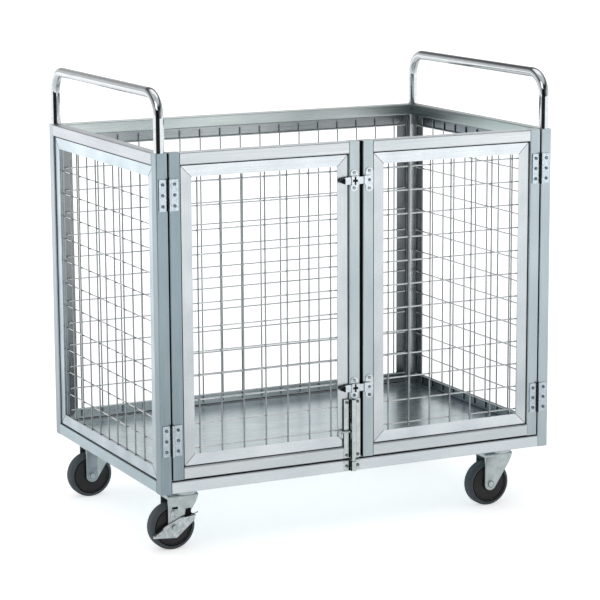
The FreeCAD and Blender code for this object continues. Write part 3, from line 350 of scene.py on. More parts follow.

# %% [markdown]
# ## Flat bar trim
# Four mitred flat bars frame each mesh. They were polished before they were cut, so the lines follow
# each bar and turn at the mitre. A point belongs to an upright bar when it is nearer, in width, to the
# panel's side than it is, in height, to its top or bottom. The bars carry painted shade: the uprights are
# darker than the crosswise bars, and bars deep in the cage are darker than those in front and darker still
# towards the far corner, where their tints fade to a dark tone. The rear panel's top bar is darker too.

# %% Trim finish
TRIM_CLOUD, TRIM_STREAK, TRIM_STRENGTH = 90, 0.14, 0.2
TRIM_SMOOTH, TRIM_ROUGH = 0.22, 0.36
OUTER_TONE = "#C3D1D9"


def flat_bar(name, node, across, dark, pale, side_shade, end_shade, top_shade):
    """Bars of one panel. The shares are painted shade: how much darker the uprights, far end and top bar
    are.
    A panel with a far-end share is darker inside the cage than on its outer face, which keeps a plain tone."""
    low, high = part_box(node)
    middle, half = (low + high) / 2, (high - low) / 2
    material, tree, shader, place = new_material(name)
    axes = add_node(tree, "ShaderNodeSeparateXYZ", {"Vector": place})
    edge = {}
    for axis in (across, "Z"):
        index = AXES.index(axis)
        shift = add_node(
            tree, "ShaderNodeMath", {0: axes.outputs[axis]}, {1: middle[index]}, operation="SUBTRACT"
        )
        away = add_node(tree, "ShaderNodeMath", {0: shift.outputs[0]}, operation="ABSOLUTE")
        edge[axis] = add_node(
            tree, "ShaderNodeMath", {0: away.outputs[0]}, {1: half[index]}, operation="SUBTRACT"
        ).outputs[0]
    upright = add_node(
        tree, "ShaderNodeMath", {0: edge[across], 1: edge["Z"]}, operation="GREATER_THAN"
    ).outputs[0]
    lines = add_node(
        tree,
        "ShaderNodeMix",
        {0: upright, 2: brush_lines(tree, place, across), 3: brush_lines(tree, place, "Z")},
    ).outputs[0]
    clouds = grain(tree, place, (TRIM_CLOUD,) * 3)
    tint = mix_colour(tree, spread(tree, clouds, 0, 1), dark, pale)
    above = add_node(
        tree, "ShaderNodeMath", {0: axes.outputs["Z"]}, {1: middle.z}, operation="GREATER_THAN"
    )
    top = add_node(
        tree, "ShaderNodeMath", {0: above.outputs[0], 1: upright}, operation="SUBTRACT", use_clamp=True
    ).outputs[0]
    # Painted shade on the uprights and on the top bar.
    for bars, share in ((upright, side_shade), (top, top_shade)):
        tint = mix_colour(tree, spread(tree, bars, 0.0, share, 0.0, 1.0), tint, SHADE_TONE)
    # Painted shade towards the far end, inside the cage; the outer face keeps a plain tone.
    if end_shade:
        index = AXES.index(across)
        tint = shaded_along(tree, place, tint, across, end_shade, middle[index], high[index])
        through = "Y" if across == "X" else "X"
        limit = {1: middle[AXES.index(through)]}
        outer = add_node(
            tree, "ShaderNodeMath", {0: axes.outputs[through]}, limit, operation="GREATER_THAN"
        )
        tint = mix_colour(tree, outer.outputs[0], tint, OUTER_TONE)
    shaded = mix_colour(tree, spread(tree, lines, 0.0, TRIM_STREAK), tint, "#FFFFFF")
    tree.links.new(shaded, shader.inputs["Base Color"])
    tree.links.new(spread(tree, lines, TRIM_SMOOTH, TRIM_ROUGH), shader.inputs["Roughness"])
    shader.inputs["Metallic"].default_value = 1.0
    bump(tree, shader, lines, BRUSH_DEPTH, TRIM_STRENGTH)
    dress(material, node)


# Part of each panel's tint is painted shade; the right panel, deep in the cage, is the darkest.
DOOR_TRIM, LEFT_TRIM = ("#CBD4DA", "#E3E9ED"), ("#B0BFC7", "#CEDAE1")
REAR_TRIM, RIGHT_TRIM = ("#E4EEF3", "#F6FCFD"), ("#616E76", "#737F88")
TRIMS = {
    "left_door": ("X", DOOR_TRIM, 0.20, 0.0, 0.0),
    "right_door": ("X", DOOR_TRIM, 0.20, 0.0, 0.0),
    "rear_panel": ("X", REAR_TRIM, 0.76, 0.62, 0.55),
    "left_panel": ("Y", LEFT_TRIM, 0.12, 0.0, 0.0),
    "right_panel": ("Y", RIGHT_TRIM, 0.65, 0.60, 0.0),
}
for panel, (across, tints, *shares) in TRIMS.items():
    flat_bar(f"flat_bar_{panel}", f"{panel}_trim", across, *tints, *shares)
print("trim finish on", len(TRIMS), "panels")

# %% [markdown]
# ## Deck and fittings
# The deck is cold-rolled sheet with a dull mill finish. Hinges and latches are pressed and tumbled, so
# they are paler and mottled. The drop bolt is nickel-plated, less blue than the rest. Zinc plate on the
# forks has a soft bloom. All but the deck share one tree: noise in lumps for the tone, and fine noise for
# the roughness. The dark line beside each hinge barrel and the bolt's cover is painted shade, a band at
# its place in X.

# %% Mottled metal
FINE_GRAIN, MOTTLE_STRENGTH = 1.2, 0.25


def cross_band(tree, place, middle_mm, half_mm):
    """One where a point's X is within half_mm of a place."""
    across = add_node(tree, "ShaderNodeSeparateXYZ", {"Vector": place}).outputs["X"]
    limits = {1: middle_mm * MM, 2: half_mm * MM}
    return add_node(tree, "ShaderNodeMath", {0: across}, limits, operation="COMPARE").outputs[0]


def mottled_metal(name, dark, pale, lump_mm, smooth, rough, depth_mm=0.03, shade_bands=None):
    """Metal with soft lumps of tone. Painted shade bands: a colour, half a band's width and the bands' X.
    """
    material, tree, shader, place = new_material(name)
    lumps = grain(tree, place, (lump_mm,) * 3, detail=4.0)
    fine = grain(tree, place, (FINE_GRAIN,) * 3, detail=3.0)
    tint = mix_colour(tree, spread(tree, lumps, 0, 1), dark, pale)
    if shade_bands:
        colour, half_mm, middles_mm = shade_bands
        for middle_mm in middles_mm:
            tint = mix_colour(tree, cross_band(tree, place, middle_mm, half_mm), tint, colour)
    tree.links.new(tint, shader.inputs["Base Color"])
    tree.links.new(spread(tree, fine, smooth, rough), shader.inputs["Roughness"])
    shader.inputs["Metallic"].default_value = 1.0
    bump(tree, shader, fine, depth_mm, MOTTLE_STRENGTH)
    return material


# %% Deck and fittings
mill_sheet = brushed_steel("mill_finish_sheet", "X", "#D8EAF0", "#EBF9FD", 0.22, 0.36)
tumbled_steel = mottled_metal("tumbled_fitting_steel", "#C0C9CF", "#DAE2E7", 9, 0.16, 0.32)
# Painted shade: a dark band beside each hinge barrel.
KNUCKLE_SHADE = ("#2A3034", 1.4, (-437.2, 430.3))
hinge_steel = mottled_metal("tumbled_hinge_steel", "#A8B7C1", "#CAD3D9", 5, 0.14, 0.30, shade_bands=KNUCKLE_SHADE)
# Painted shade: a dark band beside the bolt's cover.
COVER_SHADE = ("#1C2124", 1.8, (-29.4,))
bolt_steel = mottled_metal("nickel_bolt_steel", "#BCC5C4", "#D6DEDE", 14, 0.18, 0.34, shade_bands=COVER_SHADE)
zinc_plate = mottled_metal("bright_zinc_plate", "#AEB9BB", "#C8D1D2", 16, 0.26, 0.42)
# Painted shade: the rear left rib gets this darker tint, the front right rib the plain zinc.
rib_zinc = mottled_metal("shaded_rib_zinc", "#8B969D", "#A6AFB5", 16, 0.26, 0.42)
pedal_zinc = mottled_metal("bright_pedal_zinc", "#9FA7AB", "#DAE0E2", 9, 0.18, 0.34)
dress(mill_sheet, "deck_panel", "deck_bearers")
dress(hinge_steel, "hinge_post_leaves", *[f"{side}_door_hinge_leaves" for side in SIDES])
dress(tumbled_steel, "latch_guides", "latch_keepers", "upper_latch_bolt", "lower_latch_bolt")
dress(bolt_steel, "drop_bolt_guide", "drop_bolt_keeper", "drop_bolt_rod")
CORNERS = [f"{end}_{side}" for end in ENDS for side in SIDES]
BRAKED = ("front_left", "rear_right")
dress(zinc_plate, "caster_plates", "caster_bolts", *[f"{corner}_fork" for corner in CORNERS])
dress(pedal_zinc, *[f"{corner}_brake_pedal" for corner in BRAKED])
print("deck, fittings and casters dressed,", len(CORNERS), "forks")

# %% [markdown]
# ## Wire
# The mesh is drawn wire, with faint die marks. The upright wires lie against the flat bars and the
# crosswise ones behind them. The uprights get a darker tint, painted shade, and the crosswise wires a paler
# tint, a painted highlight; the crosswise wires are also smoother. The two layers meet in the middle of
# the mesh's depth, so the place of a point across that depth tells which wire it is on.

# %% Wire finish
# Painted light: the upright wires' tints are darkened as shade, the crosswise wires' paled as a highlight.
SHADED_UPRIGHT_WIRE, UPRIGHT_ROUGH = ("#8C9294", "#A4A9AB"), (0.22, 0.38)
LIT_CROSS_WIRE, CROSS_ROUGH = ("#D4D9DB", "#E8EBEC"), (0.10, 0.20)
WIRE_LUMP, DIE_MARK_DEPTH = 25, 0.03


def welded_wire(panel, across):
    """Wire of one mesh, painted shade on the upright wires and a painted highlight on the crosswise ones.
    """
    through = "Y" if across == "X" else "X"
    index = AXES.index(through)
    middles = {}
    for kind in ("trim", "mesh"):
        low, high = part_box(f"{panel}_{kind}")
        middles[kind] = (low[index] + high[index]) / 2
    material, tree, shader, place = new_material(f"drawn_wire_{panel}")
    depth = add_node(tree, "ShaderNodeSeparateXYZ", {"Vector": place}).outputs[through]
    behind = "GREATER_THAN" if middles["mesh"] > middles["trim"] else "LESS_THAN"
    crosswise = add_node(
        tree, "ShaderNodeMath", {0: depth}, {1: middles["mesh"]}, operation=behind
    ).outputs[0]
    lumps = spread(tree, grain(tree, place, (WIRE_LUMP,) * 3, detail=4.0), 0, 1)
    fine = grain(tree, place, (FINE_GRAIN,) * 3, detail=3.0)
    tints = [mix_colour(tree, lumps, *tones) for tones in (SHADED_UPRIGHT_WIRE, LIT_CROSS_WIRE)]
    tree.links.new(mix_colour(tree, crosswise, *tints), shader.inputs["Base Color"])
    dull, bright = (spread(tree, fine, *limits) for limits in (UPRIGHT_ROUGH, CROSS_ROUGH))
    rough = add_node(tree, "ShaderNodeMix", {0: crosswise, 2: dull, 3: bright}).outputs[0]
    tree.links.new(rough, shader.inputs["Roughness"])
    shader.inputs["Metallic"].default_value = 1.0
    bump(tree, shader, fine, DIE_MARK_DEPTH, MOTTLE_STRENGTH)
    return material


for panel, (across, *_) in TRIMS.items():
    dress(welded_wire(panel, across), f"{panel}_mesh")
print("wire finish on", len(TRIMS), "meshes")

# %% [markdown]
# ## Handles
# The push handles are buffed pipe, nearly a mirror. A trace of swirl in the roughness keeps the
# reflection from looking drawn.

# %% Handle finish
SWIRL, PIPE_TONES, PIPE_ROUGH = (6, 30, 6), ("#BDC2C5", "#CED2D4"), (0.03, 0.08)
buffed_pipe, tree, shader, place = new_material("buffed_pipe")
swirl = grain(tree, place, SWIRL, detail=3.0)
tree.links.new(spread(tree, swirl, *PIPE_ROUGH), shader.inputs["Roughness"])
tint = mix_colour(tree, spread(tree, swirl, 0, 1), *PIPE_TONES)
tree.links.new(tint, shader.inputs["Base Color"])
shader.inputs["Metallic"].default_value = 1.0
dress(buffed_pipe, *[f"{side}_handle" for side in SIDES])
print("handles buffed")

# %% [markdown]
# ## Tyres and hubs
# The tyres are grey moulded rubber, dulled by floor dust. The hubs are dark nylon with the faint grain
# of the mould.

# %% Rubber and nylon
MOULD_STRENGTH = 0.35


def moulded(name, dark, pale, lump_mm, grain_mm, smooth, rough, depth_mm, shine=0.5):
    material, tree, shader, place = new_material(name)
    dust = grain(tree, place, (lump_mm,) * 3, detail=5.0)
    fine = grain(tree, place, (grain_mm,) * 3, detail=2.0)
    tree.links.new(mix_colour(tree, spread(tree, dust, 0, 1), dark, pale), shader.inputs["Base Color"])
    tree.links.new(spread(tree, dust, smooth, rough), shader.inputs["Roughness"])
    shader.inputs["Specular IOR Level"].default_value = shine
    bump(tree, shader, fine, depth_mm, MOULD_STRENGTH)
    return material


rubber = moulded("grey_tyre_rubber", "#50575C", "#62696E", 12, 0.9, 0.62, 0.82, 0.08)
nylon = moulded("dark_moulded_nylon", "#1E1C1D", "#2C2A2B", 10, 0.8, 0.42, 0.58, 0.05)
# Black plastic for the grips, clips and levers; the same black is painted shade in the door gaps, in the
# groove round each hub and round the axle heads.
black_plastic_and_shade = moulded("black_moulded_plastic_and_shade", "#08090A", "#141516", 6, 0.6, 0.38, 0.52, 0.04, 0.15)
dress(rubber, *[f"{corner}_tyre" for corner in CORNERS])
dress(nylon, *[f"{corner}_hub" for corner in CORNERS])
print("wheels dressed,", len(CORNERS), "tyres and hubs")

# %% [markdown]
# ## Where each solid sits
# A node can hold several solids, such as all the screws of a door. The box of each is read from a
# merged copy of the node's mesh, so new pieces follow the frame without typed-in places.

# %% Boxes of the solids in a node


def solid_boxes(node):
    """The lowest and highest corner of each separate solid in a node, in order of place, to 0.1 mm."""
    copy = bmesh.new()
    copy.from_mesh(nodes[node].data)
    bmesh.ops.remove_doubles(copy, verts=copy.verts, dist=0.01 * MM)
    left = set(copy.verts)
    boxes = []
    while left:
        solid, reached = [], [left.pop()]
        while reached:
            vert = reached.pop()
            solid.append(vert.co.copy())
            near = {edge.other_vert(vert) for edge in vert.link_edges} & left
            left -= near
            reached.extend(near)
        boxes.append((Vector(map(min, zip(*solid))), Vector(map(max, zip(*solid)))))
    copy.free()
    return sorted(boxes, key=lambda box: [round(length, 4) for length in box[0]])


SCREW_BODIES = {"frame_screws": "cage"}
SCREW_BODIES.update({f"{side}_door_screws": f"{side}_door" for side in SIDES})
screw_boxes = {name: solid_boxes(name) for name in SCREW_BODIES}
print("screws", {name: len(boxes) for name, boxes in screw_boxes.items()})

# %% [markdown]
# ## Screws
# The fittings are held by pan-head screws with a cross recess. One is modelled: a disc whose front rim
# is bevelled to a dome, with the cross cut by two bars. Copies of it take the place of the plain heads.

# %% One screw head
HEAD_RADIUS, HEAD_HEIGHT, HEAD_STEPS = 3.5 * MM, 2.0 * MM, 24
DOME_SHARE, DOME_STEPS = 0.55, 4
CROSS_LENGTH, CROSS_WIDTH, CROSS_DEPTH, CUT_PAST = 4.4 * MM, 1.0 * MM, 1.2 * MM, 0.1


def clear_selection():
    if bpy.context.object and bpy.context.object.mode != "OBJECT":
        bpy.ops.object.mode_set(mode="OBJECT")
    bpy.ops.object.select_all(action="DESELECT")


def finish_mesh(piece, angle=40):
    """Apply the object's place, so that it sits in the mesh, and shade it smooth up to an angle."""
    clear_selection()
    piece.select_set(True)
    bpy.context.view_layer.objects.active = piece
    bpy.ops.object.transform_apply(location=True, rotation=True, scale=True)
    bpy.ops.object.shade_smooth_by_angle(angle=math.radians(angle))


def apply_modifier(piece, kind, **settings):
    bpy.context.view_layer.objects.active = piece
    modifier = piece.modifiers.new(kind.lower(), kind)
    for name, setting in settings.items():
        setattr(modifier, name, setting)
    bpy.ops.object.modifier_apply(modifier=modifier.name)


def select_faces(piece, wanted):
    """In edit mode, select the faces whose centre and normal pass a test."""
    bpy.ops.mesh.select_mode(type="FACE")
    bpy.ops.mesh.select_all(action="DESELECT")
    mesh = bmesh.from_edit_mesh(piece.data)
    for face in mesh.faces:
        face.select = wanted(face.calc_center_median(), face.normal)
    bmesh.update_edit_mesh(piece.data)


def bar(name, size, place):
    clear_selection()
    bpy.ops.mesh.primitive_cube_add(size=1, location=place)
    piece = bpy.context.object
    piece.name = name
    piece.scale = size
    bpy.ops.object.transform_apply(location=True, rotation=True, scale=True)
    return piece


def pan_head():
    """A screw head at the origin, its back on y = 0 and its cross towards -Y."""
    clear_selection()
    bpy.ops.mesh.primitive_cylinder_add(
        vertices=HEAD_STEPS,
        radius=HEAD_RADIUS,
        depth=HEAD_HEIGHT,
        location=(0, -HEAD_HEIGHT / 2, 0),
        rotation=(math.pi / 2, 0, 0),
    )
    head = bpy.context.object
    bpy.ops.object.transform_apply(location=True, rotation=True, scale=True)
    bpy.ops.object.mode_set(mode="EDIT")
    select_faces(head, lambda centre, normal: normal.y < -0.9)
    bpy.ops.mesh.bevel(offset=HEAD_HEIGHT * DOME_SHARE, segments=DOME_STEPS, affect="EDGES")
    bpy.ops.object.mode_set(mode="OBJECT")
    front = -HEAD_HEIGHT + CROSS_DEPTH / 2
    depth = CROSS_DEPTH * (1 + CUT_PAST)
    for size in ((CROSS_LENGTH, depth, CROSS_WIDTH), (CROSS_WIDTH, depth, CROSS_LENGTH)):
        cutter = bar("cross_cutter", size, (0, front - CROSS_DEPTH * CUT_PAST / 2, 0))
        apply_modifier(head, "BOOLEAN", object=cutter, operation="DIFFERENCE", solver="EXACT")
        bpy.data.objects.remove(cutter)
    return head


def copies(source, name, places, turns=None):
    """One object made of a copy of the source at each place, each turned about Y."""
    merged = bmesh.new()
    for index, place in enumerate(places):
        mesh = source.data.copy()
        angle = turns[index] if turns else 0.0
        mesh.transform(Matrix.Translation(place) @ Matrix.Rotation(angle, 4, "Y"))
        merged.from_mesh(mesh)
        bpy.data.meshes.remove(mesh)
    result = bpy.data.meshes.new(name)
    merged.to_mesh(result)
    merged.free()
    piece = bpy.data.objects.new(name, result)
    bpy.context.scene.collection.objects.link(piece)
    return piece


# %% [markdown]
# ## Screw finish
# The hinge screws are dark. Those of the latches and keepers near the middle of the cart are paler. Each
# head is turned by a different angle, as when driven by hand.

# %% All the screws
screw_steel = mottled_metal("dark_screw_steel", "#4A545B", "#95A2AC", 4, 0.08, 0.18)
pale_screw = mottled_metal("pale_screw_steel", "#A3A9AC", "#C4C9CB", 4, 0.12, 0.24)
LATCH_ZONE, BOLT_TOP = 100 * MM, 325 * MM
HEAD_SEAT, HEAD_ANGLE, TURN_STEP = 1.2 * MM, 35, 2.4
head = pan_head()
for node, body in SCREW_BODIES.items():
    places = []
    for low, high in screw_boxes[node]:
        middle = (low + high) / 2
        places.append(Vector((middle.x, low.y + HEAD_SEAT, middle.z)))
    turns = [TURN_STEP * index for index in range(len(places))]
    screws = copies(head, f"{node}_cross_heads", places, turns)
    screws.data.materials.append(screw_steel)
    screws.data.materials.append(pale_screw)
    for face in screws.data.polygons:
        face.material_index = int(abs(face.center.x) < LATCH_ZONE and face.center.z > BOLT_TOP)
    finish_mesh(screws, HEAD_ANGLE)
    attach(screws, body)
    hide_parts(node)
    print(node, len(places), "heads")
bpy.data.objects.remove(head)

# %% [markdown]
# ## Joint lines
# A fine dark line runs between each tube and its flat bars, painted shade in the narrow gap there. A dark
# line also runs along each mitre. One plane per panel is inset to the bars' width, and its corner edges are
# bevelled into thin strips. A second inset leaves a narrow rim. Only strips and rim are kept.

# %% Joint lines
RIM_WIDTH, RIM_TUCK, MITRE_WIDTH, LINE_RISE = 2.0 * MM, 0.3 * MM, 0.9 * MM, 0.12 * MM
STRIP_LIMIT = 3
# Painted shade for the gaps between tube and bars; the same dark line marks each mitre.
joint_line_shade = moulded("painted_shade_joint_line", "#15191C", "#262B2F", 20, 1.5, 0.6, 0.8, 0.03)


def trim_shape(panel, across):
    """The outer box of a panel's trim and the width of its bars."""
    low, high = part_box(f"{panel}_trim")
    index = AXES.index(across)
    middle = (low[index] + high[index]) / 2
    inner = min(abs(vert.co[index] - middle) for vert in nodes[f"{panel}_trim"].data.vertices)
    return low, high, (high[index] - low[index]) / 2 - inner


def joint_lines(panel, across, face_name, outward):
    """Thin dark strips on one face of a panel's trim."""
    low, high, width = trim_shape(panel, across)
    index = AXES.index(across)
    facing = 1 - index
    clear_selection()
    turn = (math.pi / 2, 0, 0 if across == "X" else math.pi / 2)
    bpy.ops.mesh.primitive_plane_add(size=1, rotation=turn)
    piece = bpy.context.object
    piece.name = f"{panel}_{face_name}_joint_lines"
    bpy.ops.object.transform_apply(location=True, rotation=True, scale=True)
    middle = (low + high) / 2
    middle[facing] = (high if outward > 0 else low)[facing] + outward * LINE_RISE
    size = high - low + Vector((2, 2, 2)) * RIM_TUCK
    size[facing] = 1
    piece.scale = size
    piece.location = middle
    bpy.ops.object.transform_apply(location=True, rotation=True, scale=True)
    bpy.ops.object.mode_set(mode="EDIT")
    bpy.ops.mesh.select_all(action="SELECT")
    bpy.ops.mesh.inset(thickness=RIM_WIDTH)
    bpy.ops.mesh.inset(thickness=width + RIM_TUCK - RIM_WIDTH)
    mesh = bmesh.from_edit_mesh(piece.data)
    bpy.ops.mesh.select_mode(type="EDGE")
    bpy.ops.mesh.select_all(action="DESELECT")
    for edge in mesh.edges:
        step = edge.verts[0].co - edge.verts[1].co
        slanted = min(abs(step[index]), abs(step.z)) > width / 2
        edge.select = slanted
    bmesh.update_edit_mesh(piece.data)
    bpy.ops.mesh.bevel(offset=MITRE_WIDTH / 2, segments=1, affect="EDGES")
    thin = STRIP_LIMIT * RIM_WIDTH
    select_faces(piece, lambda centre, normal: False)
    mesh = bmesh.from_edit_mesh(piece.data)
    for face in mesh.faces:
        longest = max(edge.calc_length() for edge in face.edges)
        face.select = face.calc_area() / longest > thin
    bmesh.update_edit_mesh(piece.data)
    bpy.ops.mesh.delete(type="FACE")
    bpy.ops.object.mode_set(mode="OBJECT")
    piece.data.materials.append(joint_line_shade)
    finish_mesh(piece)
    return piece


for panel, (across, *_) in TRIMS.items():
    for face_name, outward in (("low", -1), ("high", 1)):
        lines = joint_lines(panel, across, face_name, outward)
        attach(lines, panel if panel.endswith("door") else "cage")
    print(panel, "joint lines,", len(lines.data.polygons), "faces on each side")

# %% [markdown]
# ## Door gaps
# The gaps round the doors read black. What fills them doesn't show, so the thin rubber strips are a guess:
# one on each upright edge of each door, and one on the base rail below the doors. What fills them doesn't
# show; thin black strips stand in them as painted shade: one on each upright edge of each door, and one on
# the base rail below the doors. Each is a bar, bevelled along its edges, and thin enough that the doors
# swing past it.

# %% Rubber strips
STRIP_INSET = 1.0 * MM
EDGE_SHADOW_THICK, EDGE_SHADOW_DEPTH = 1.6 * MM, 23 * MM
HINGE_STRIP_THICK, HINGE_STRIP_DEPTH = 0.7 * MM, 12 * MM
SILL_STRIP_THICK, SILL_STRIP_DEPTH = 0.8 * MM, 9 * MM


def gap_shade_strip(name, node, axis, toward, thick, depth, body):
    """A strip on the low or high face of a node's box along an axis, as deep as its own depth in Y."""
    low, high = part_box(node)
    size = high - low - Vector((2, 2, 2)) * STRIP_INSET
    middle = (low + high) / 2
    size.y = depth
    middle.y = low.y + STRIP_INSET + depth / 2
    index = AXES.index(axis)
    middle[index] = (high if toward > 0 else low)[index] + toward * thick / 2
    size[index] = thick
    piece = bar(name, size, middle)
    apply_modifier(piece, "BEVEL", width=thick / 4, segments=2)
    piece.data.materials.append(black_plastic_and_shade)
    finish_mesh(piece)
    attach(piece, body)
    print(name, len(piece.data.polygons), "faces")


# Painted shade: black strips in the gaps round the doors.
for side, toward in (("left", 1), ("right", -1)):
    door = f"{side}_door"
    gap_shade_strip(f"{door}_edge_buffer", f"{door}_latch_stile", "X", toward, EDGE_SHADOW_THICK, EDGE_SHADOW_DEPTH, door)
    hinge_shadow_strip = (f"{door}_hinge_strip", f"{door}_hinge_stile", "X", -toward)
    gap_shade_strip(*hinge_shadow_strip, HINGE_STRIP_THICK, HINGE_STRIP_DEPTH, door)
gap_shade_strip("base_rail_shadow_strip", "base_rail_front", "Z", 1, SILL_STRIP_THICK, SILL_STRIP_DEPTH, "cage")

# %% [markdown]
# ## Latch details
# Each slide bolt has a black moulded grip on its outer end, each guide a black spring clip across its
# bridge, and each keeper a rivet. The grip is a bar whose end is drawn in to a point and whose edges are
# then rounded. The clip is two bars joined into a cross. The rivet is half a sphere, pressed flat.

# %% Grips, clips and rivets
GRIP_LENGTH, GRIP_HEIGHT, GRIP_POINT, GRIP_LEAD = 10.5 * MM, 12.4 * MM, 0.26, 2.2 * MM
CLIP_WIDE, CLIP_TALL, CLIP_THICK = (11 * MM, 4.5 * MM), (3.2 * MM, 17 * MM), 1.2 * MM
RIVET_RADIUS, RIVET_RISE = 3.3 * MM, 1.8 * MM
GRIP_WALL, GRIP_ROUNDING = 0.8 * MM, 1.2 * MM
CLIP_SINK, CLIP_ROUNDING, RIVET_SINK = 0.2 * MM, 0.3 * MM, 0.1 * MM
RIVET_STEPS = 24


def grip(name, bolt):
    low, high = solid_boxes(bolt)[0]
    depth = high.y - low.y + GRIP_WALL
    start = low.x - GRIP_LEAD
    place = (start + GRIP_LENGTH / 2, (low.y + high.y - GRIP_WALL) / 2, (low.z + high.z) / 2)
    piece = bar(name, (GRIP_LENGTH, depth, GRIP_HEIGHT), place)
    bpy.ops.object.mode_set(mode="EDIT")
    select_faces(piece, lambda centre, normal: normal.x < -0.9)
    bpy.ops.transform.resize(value=(1, 1, GRIP_POINT))
    bpy.ops.object.mode_set(mode="OBJECT")
    apply_modifier(piece, "BEVEL", width=GRIP_ROUNDING, segments=3)
    return piece


def clip(name, low, high):
    middle = Vector(((low.x + high.x) / 2, low.y - CLIP_THICK / 2 + CLIP_SINK, (low.z + high.z) / 2))
    piece = bar(name, (CLIP_WIDE[0], CLIP_THICK, CLIP_WIDE[1]), middle)
    upright = bar("clip_upright", (CLIP_TALL[0], CLIP_THICK, CLIP_TALL[1]), middle)
    apply_modifier(piece, "BOOLEAN", object=upright, operation="UNION", solver="EXACT")
    bpy.data.objects.remove(upright)
    apply_modifier(piece, "BEVEL", width=CLIP_ROUNDING, segments=2)
    return piece


def rivet(name, low, high):
    place = ((low.x + high.x) / 2, low.y + RIVET_SINK, (low.z + high.z) / 2)
    clear_selection()
    bpy.ops.mesh.primitive_uv_sphere_add(
        segments=RIVET_STEPS, ring_count=RIVET_STEPS // 2, radius=RIVET_RADIUS, location=place
    )
    piece = bpy.context.object
    piece.name = name
    piece.scale = (1, RIVET_RISE / RIVET_RADIUS, 1)
    bpy.ops.object.transform_apply(location=True, rotation=True, scale=True)
    bpy.ops.object.mode_set(mode="EDIT")
    bpy.ops.mesh.select_all(action="SELECT")
    bpy.ops.mesh.bisect(plane_co=place, plane_no=(0, 1, 0), clear_outer=True, use_fill=True)
    bpy.ops.object.mode_set(mode="OBJECT")
    return piece


def seat(piece, finish, body):
    """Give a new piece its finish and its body."""
    piece.data.materials.append(finish)
    finish_mesh(piece)
    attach(piece, body)
    print(piece.name, len(piece.data.polygons), "faces")


guides = sorted(solid_boxes("latch_guides"), key=lambda box: box[0].z)
keepers = sorted(solid_boxes("latch_keepers"), key=lambda box: box[0].z)
for level, guide_box, keeper_box in zip(("lower", "upper"), guides, keepers):
    latch = f"{level}_latch"
    seat(grip(f"{latch}_grip", f"{latch}_bolt"), black_plastic_and_shade, latch)
    seat(clip(f"{latch}_clip", *guide_box), black_plastic_and_shade, "left_door")
    seat(rivet(f"{level}_keeper_rivet", *keeper_box), screw_steel, "right_door")

# %% [markdown]
# ## Caster details
# Ribs pressed in the fork's legs stiffen them. They are drawn as plates: a disc with as many corners as
# the plate has, its corners moved to their places, then extruded and bevelled. Washers, hub caps and the
# black line round each hub are rings: a disc, inset, its middle deleted, then thickened. The black line
# is painted shade in the groove between tyre and hub. Each is modelled once about an axle at the origin,
# and copied to the wheels that have it.

# %% Plates and rings
RING_STEPS = 48


def plate(name, corners_mm, back_mm, thick_mm, rounding_mm):
    """A plate with corners in X and Z about the axle; it grows towards -Y from its back."""
    clear_selection()
    bpy.ops.mesh.primitive_circle_add(vertices=len(corners_mm), fill_type="NGON")
    piece = bpy.context.object
    piece.name = name
    for vert, (x, z) in zip(piece.data.vertices, corners_mm):
        vert.co = Vector((x, back_mm, z)) * MM
    bpy.ops.object.mode_set(mode="EDIT")
    bpy.ops.mesh.select_all(action="SELECT")
    bpy.ops.mesh.extrude_region_move(TRANSFORM_OT_translate={"value": (0, -thick_mm * MM, 0)})
    bpy.ops.mesh.select_all(action="SELECT")
    bpy.ops.mesh.normals_make_consistent(inside=False)
    bpy.ops.object.mode_set(mode="OBJECT")
    apply_modifier(piece, "BEVEL", width=rounding_mm * MM, segments=2, limit_method="ANGLE")
    return piece


def ring(name, outer_mm, inner_mm, back_mm, thick_mm):
    """A flat ring about the axle; it grows towards -Y from its back."""
    clear_selection()
    bpy.ops.mesh.primitive_circle_add(
        vertices=RING_STEPS,
        radius=outer_mm * MM,
        fill_type="NGON",
        location=(0, back_mm * MM, 0),
        rotation=(math.pi / 2, 0, 0),
    )
    piece = bpy.context.object
    piece.name = name
    bpy.ops.object.transform_apply(location=True, rotation=True, scale=True)
    bpy.ops.object.mode_set(mode="EDIT")
    bpy.ops.mesh.select_all(action="SELECT")
    bpy.ops.mesh.inset(thickness=(outer_mm - inner_mm) * MM)
    bpy.ops.mesh.delete(type="FACE")
    bpy.ops.object.mode_set(mode="OBJECT")
    apply_modifier(piece, "SOLIDIFY", thickness=thick_mm * MM, offset=1.0)
    apply_modifier(piece, "BEVEL", width=thick_mm * MM / 4, segments=2, limit_method="ANGLE")
    return piece


def both_sides(piece):
    """Add the piece's mirror image on the wheel's other side."""
    apply_modifier(piece, "MIRROR", use_axis=(False, True, False), use_clip=False)
    return piece


# %% Wheels: hub caps and dark lines
HUB_LOW, HUB_HIGH, HUB_FACE, CAP_THICK = 12.3, 37.6, -12.8, 0.8
LINE_LOW, LINE_HIGH, TYRE_FACE, LINE_THICK = 38.4, 41.6, -14.2, 0.9
wheel_middle = {}
for corner in CORNERS:
    low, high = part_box(f"{corner}_tyre")
    wheel_middle[corner] = (low + high) / 2
hub_cap = both_sides(ring("hub_cap", HUB_HIGH, HUB_LOW, HUB_FACE, CAP_THICK))
# Painted shade: a black ring in the groove between tyre and hub.
hub_groove_shade = both_sides(ring("hub_groove_shade", LINE_HIGH, LINE_LOW, TYRE_FACE, LINE_THICK))
for source, finish, slot in ((hub_cap, nylon, "hub_nylon"), (hub_groove_shade, black_plastic_and_shade, "tyre_rubber")):
    for corner in CORNERS:
        piece = copies(source, f"{corner}_{source.name}", [wheel_middle[corner]])
        seat(piece, finish, f"{corner}_wheel")
    bpy.data.objects.remove(source)

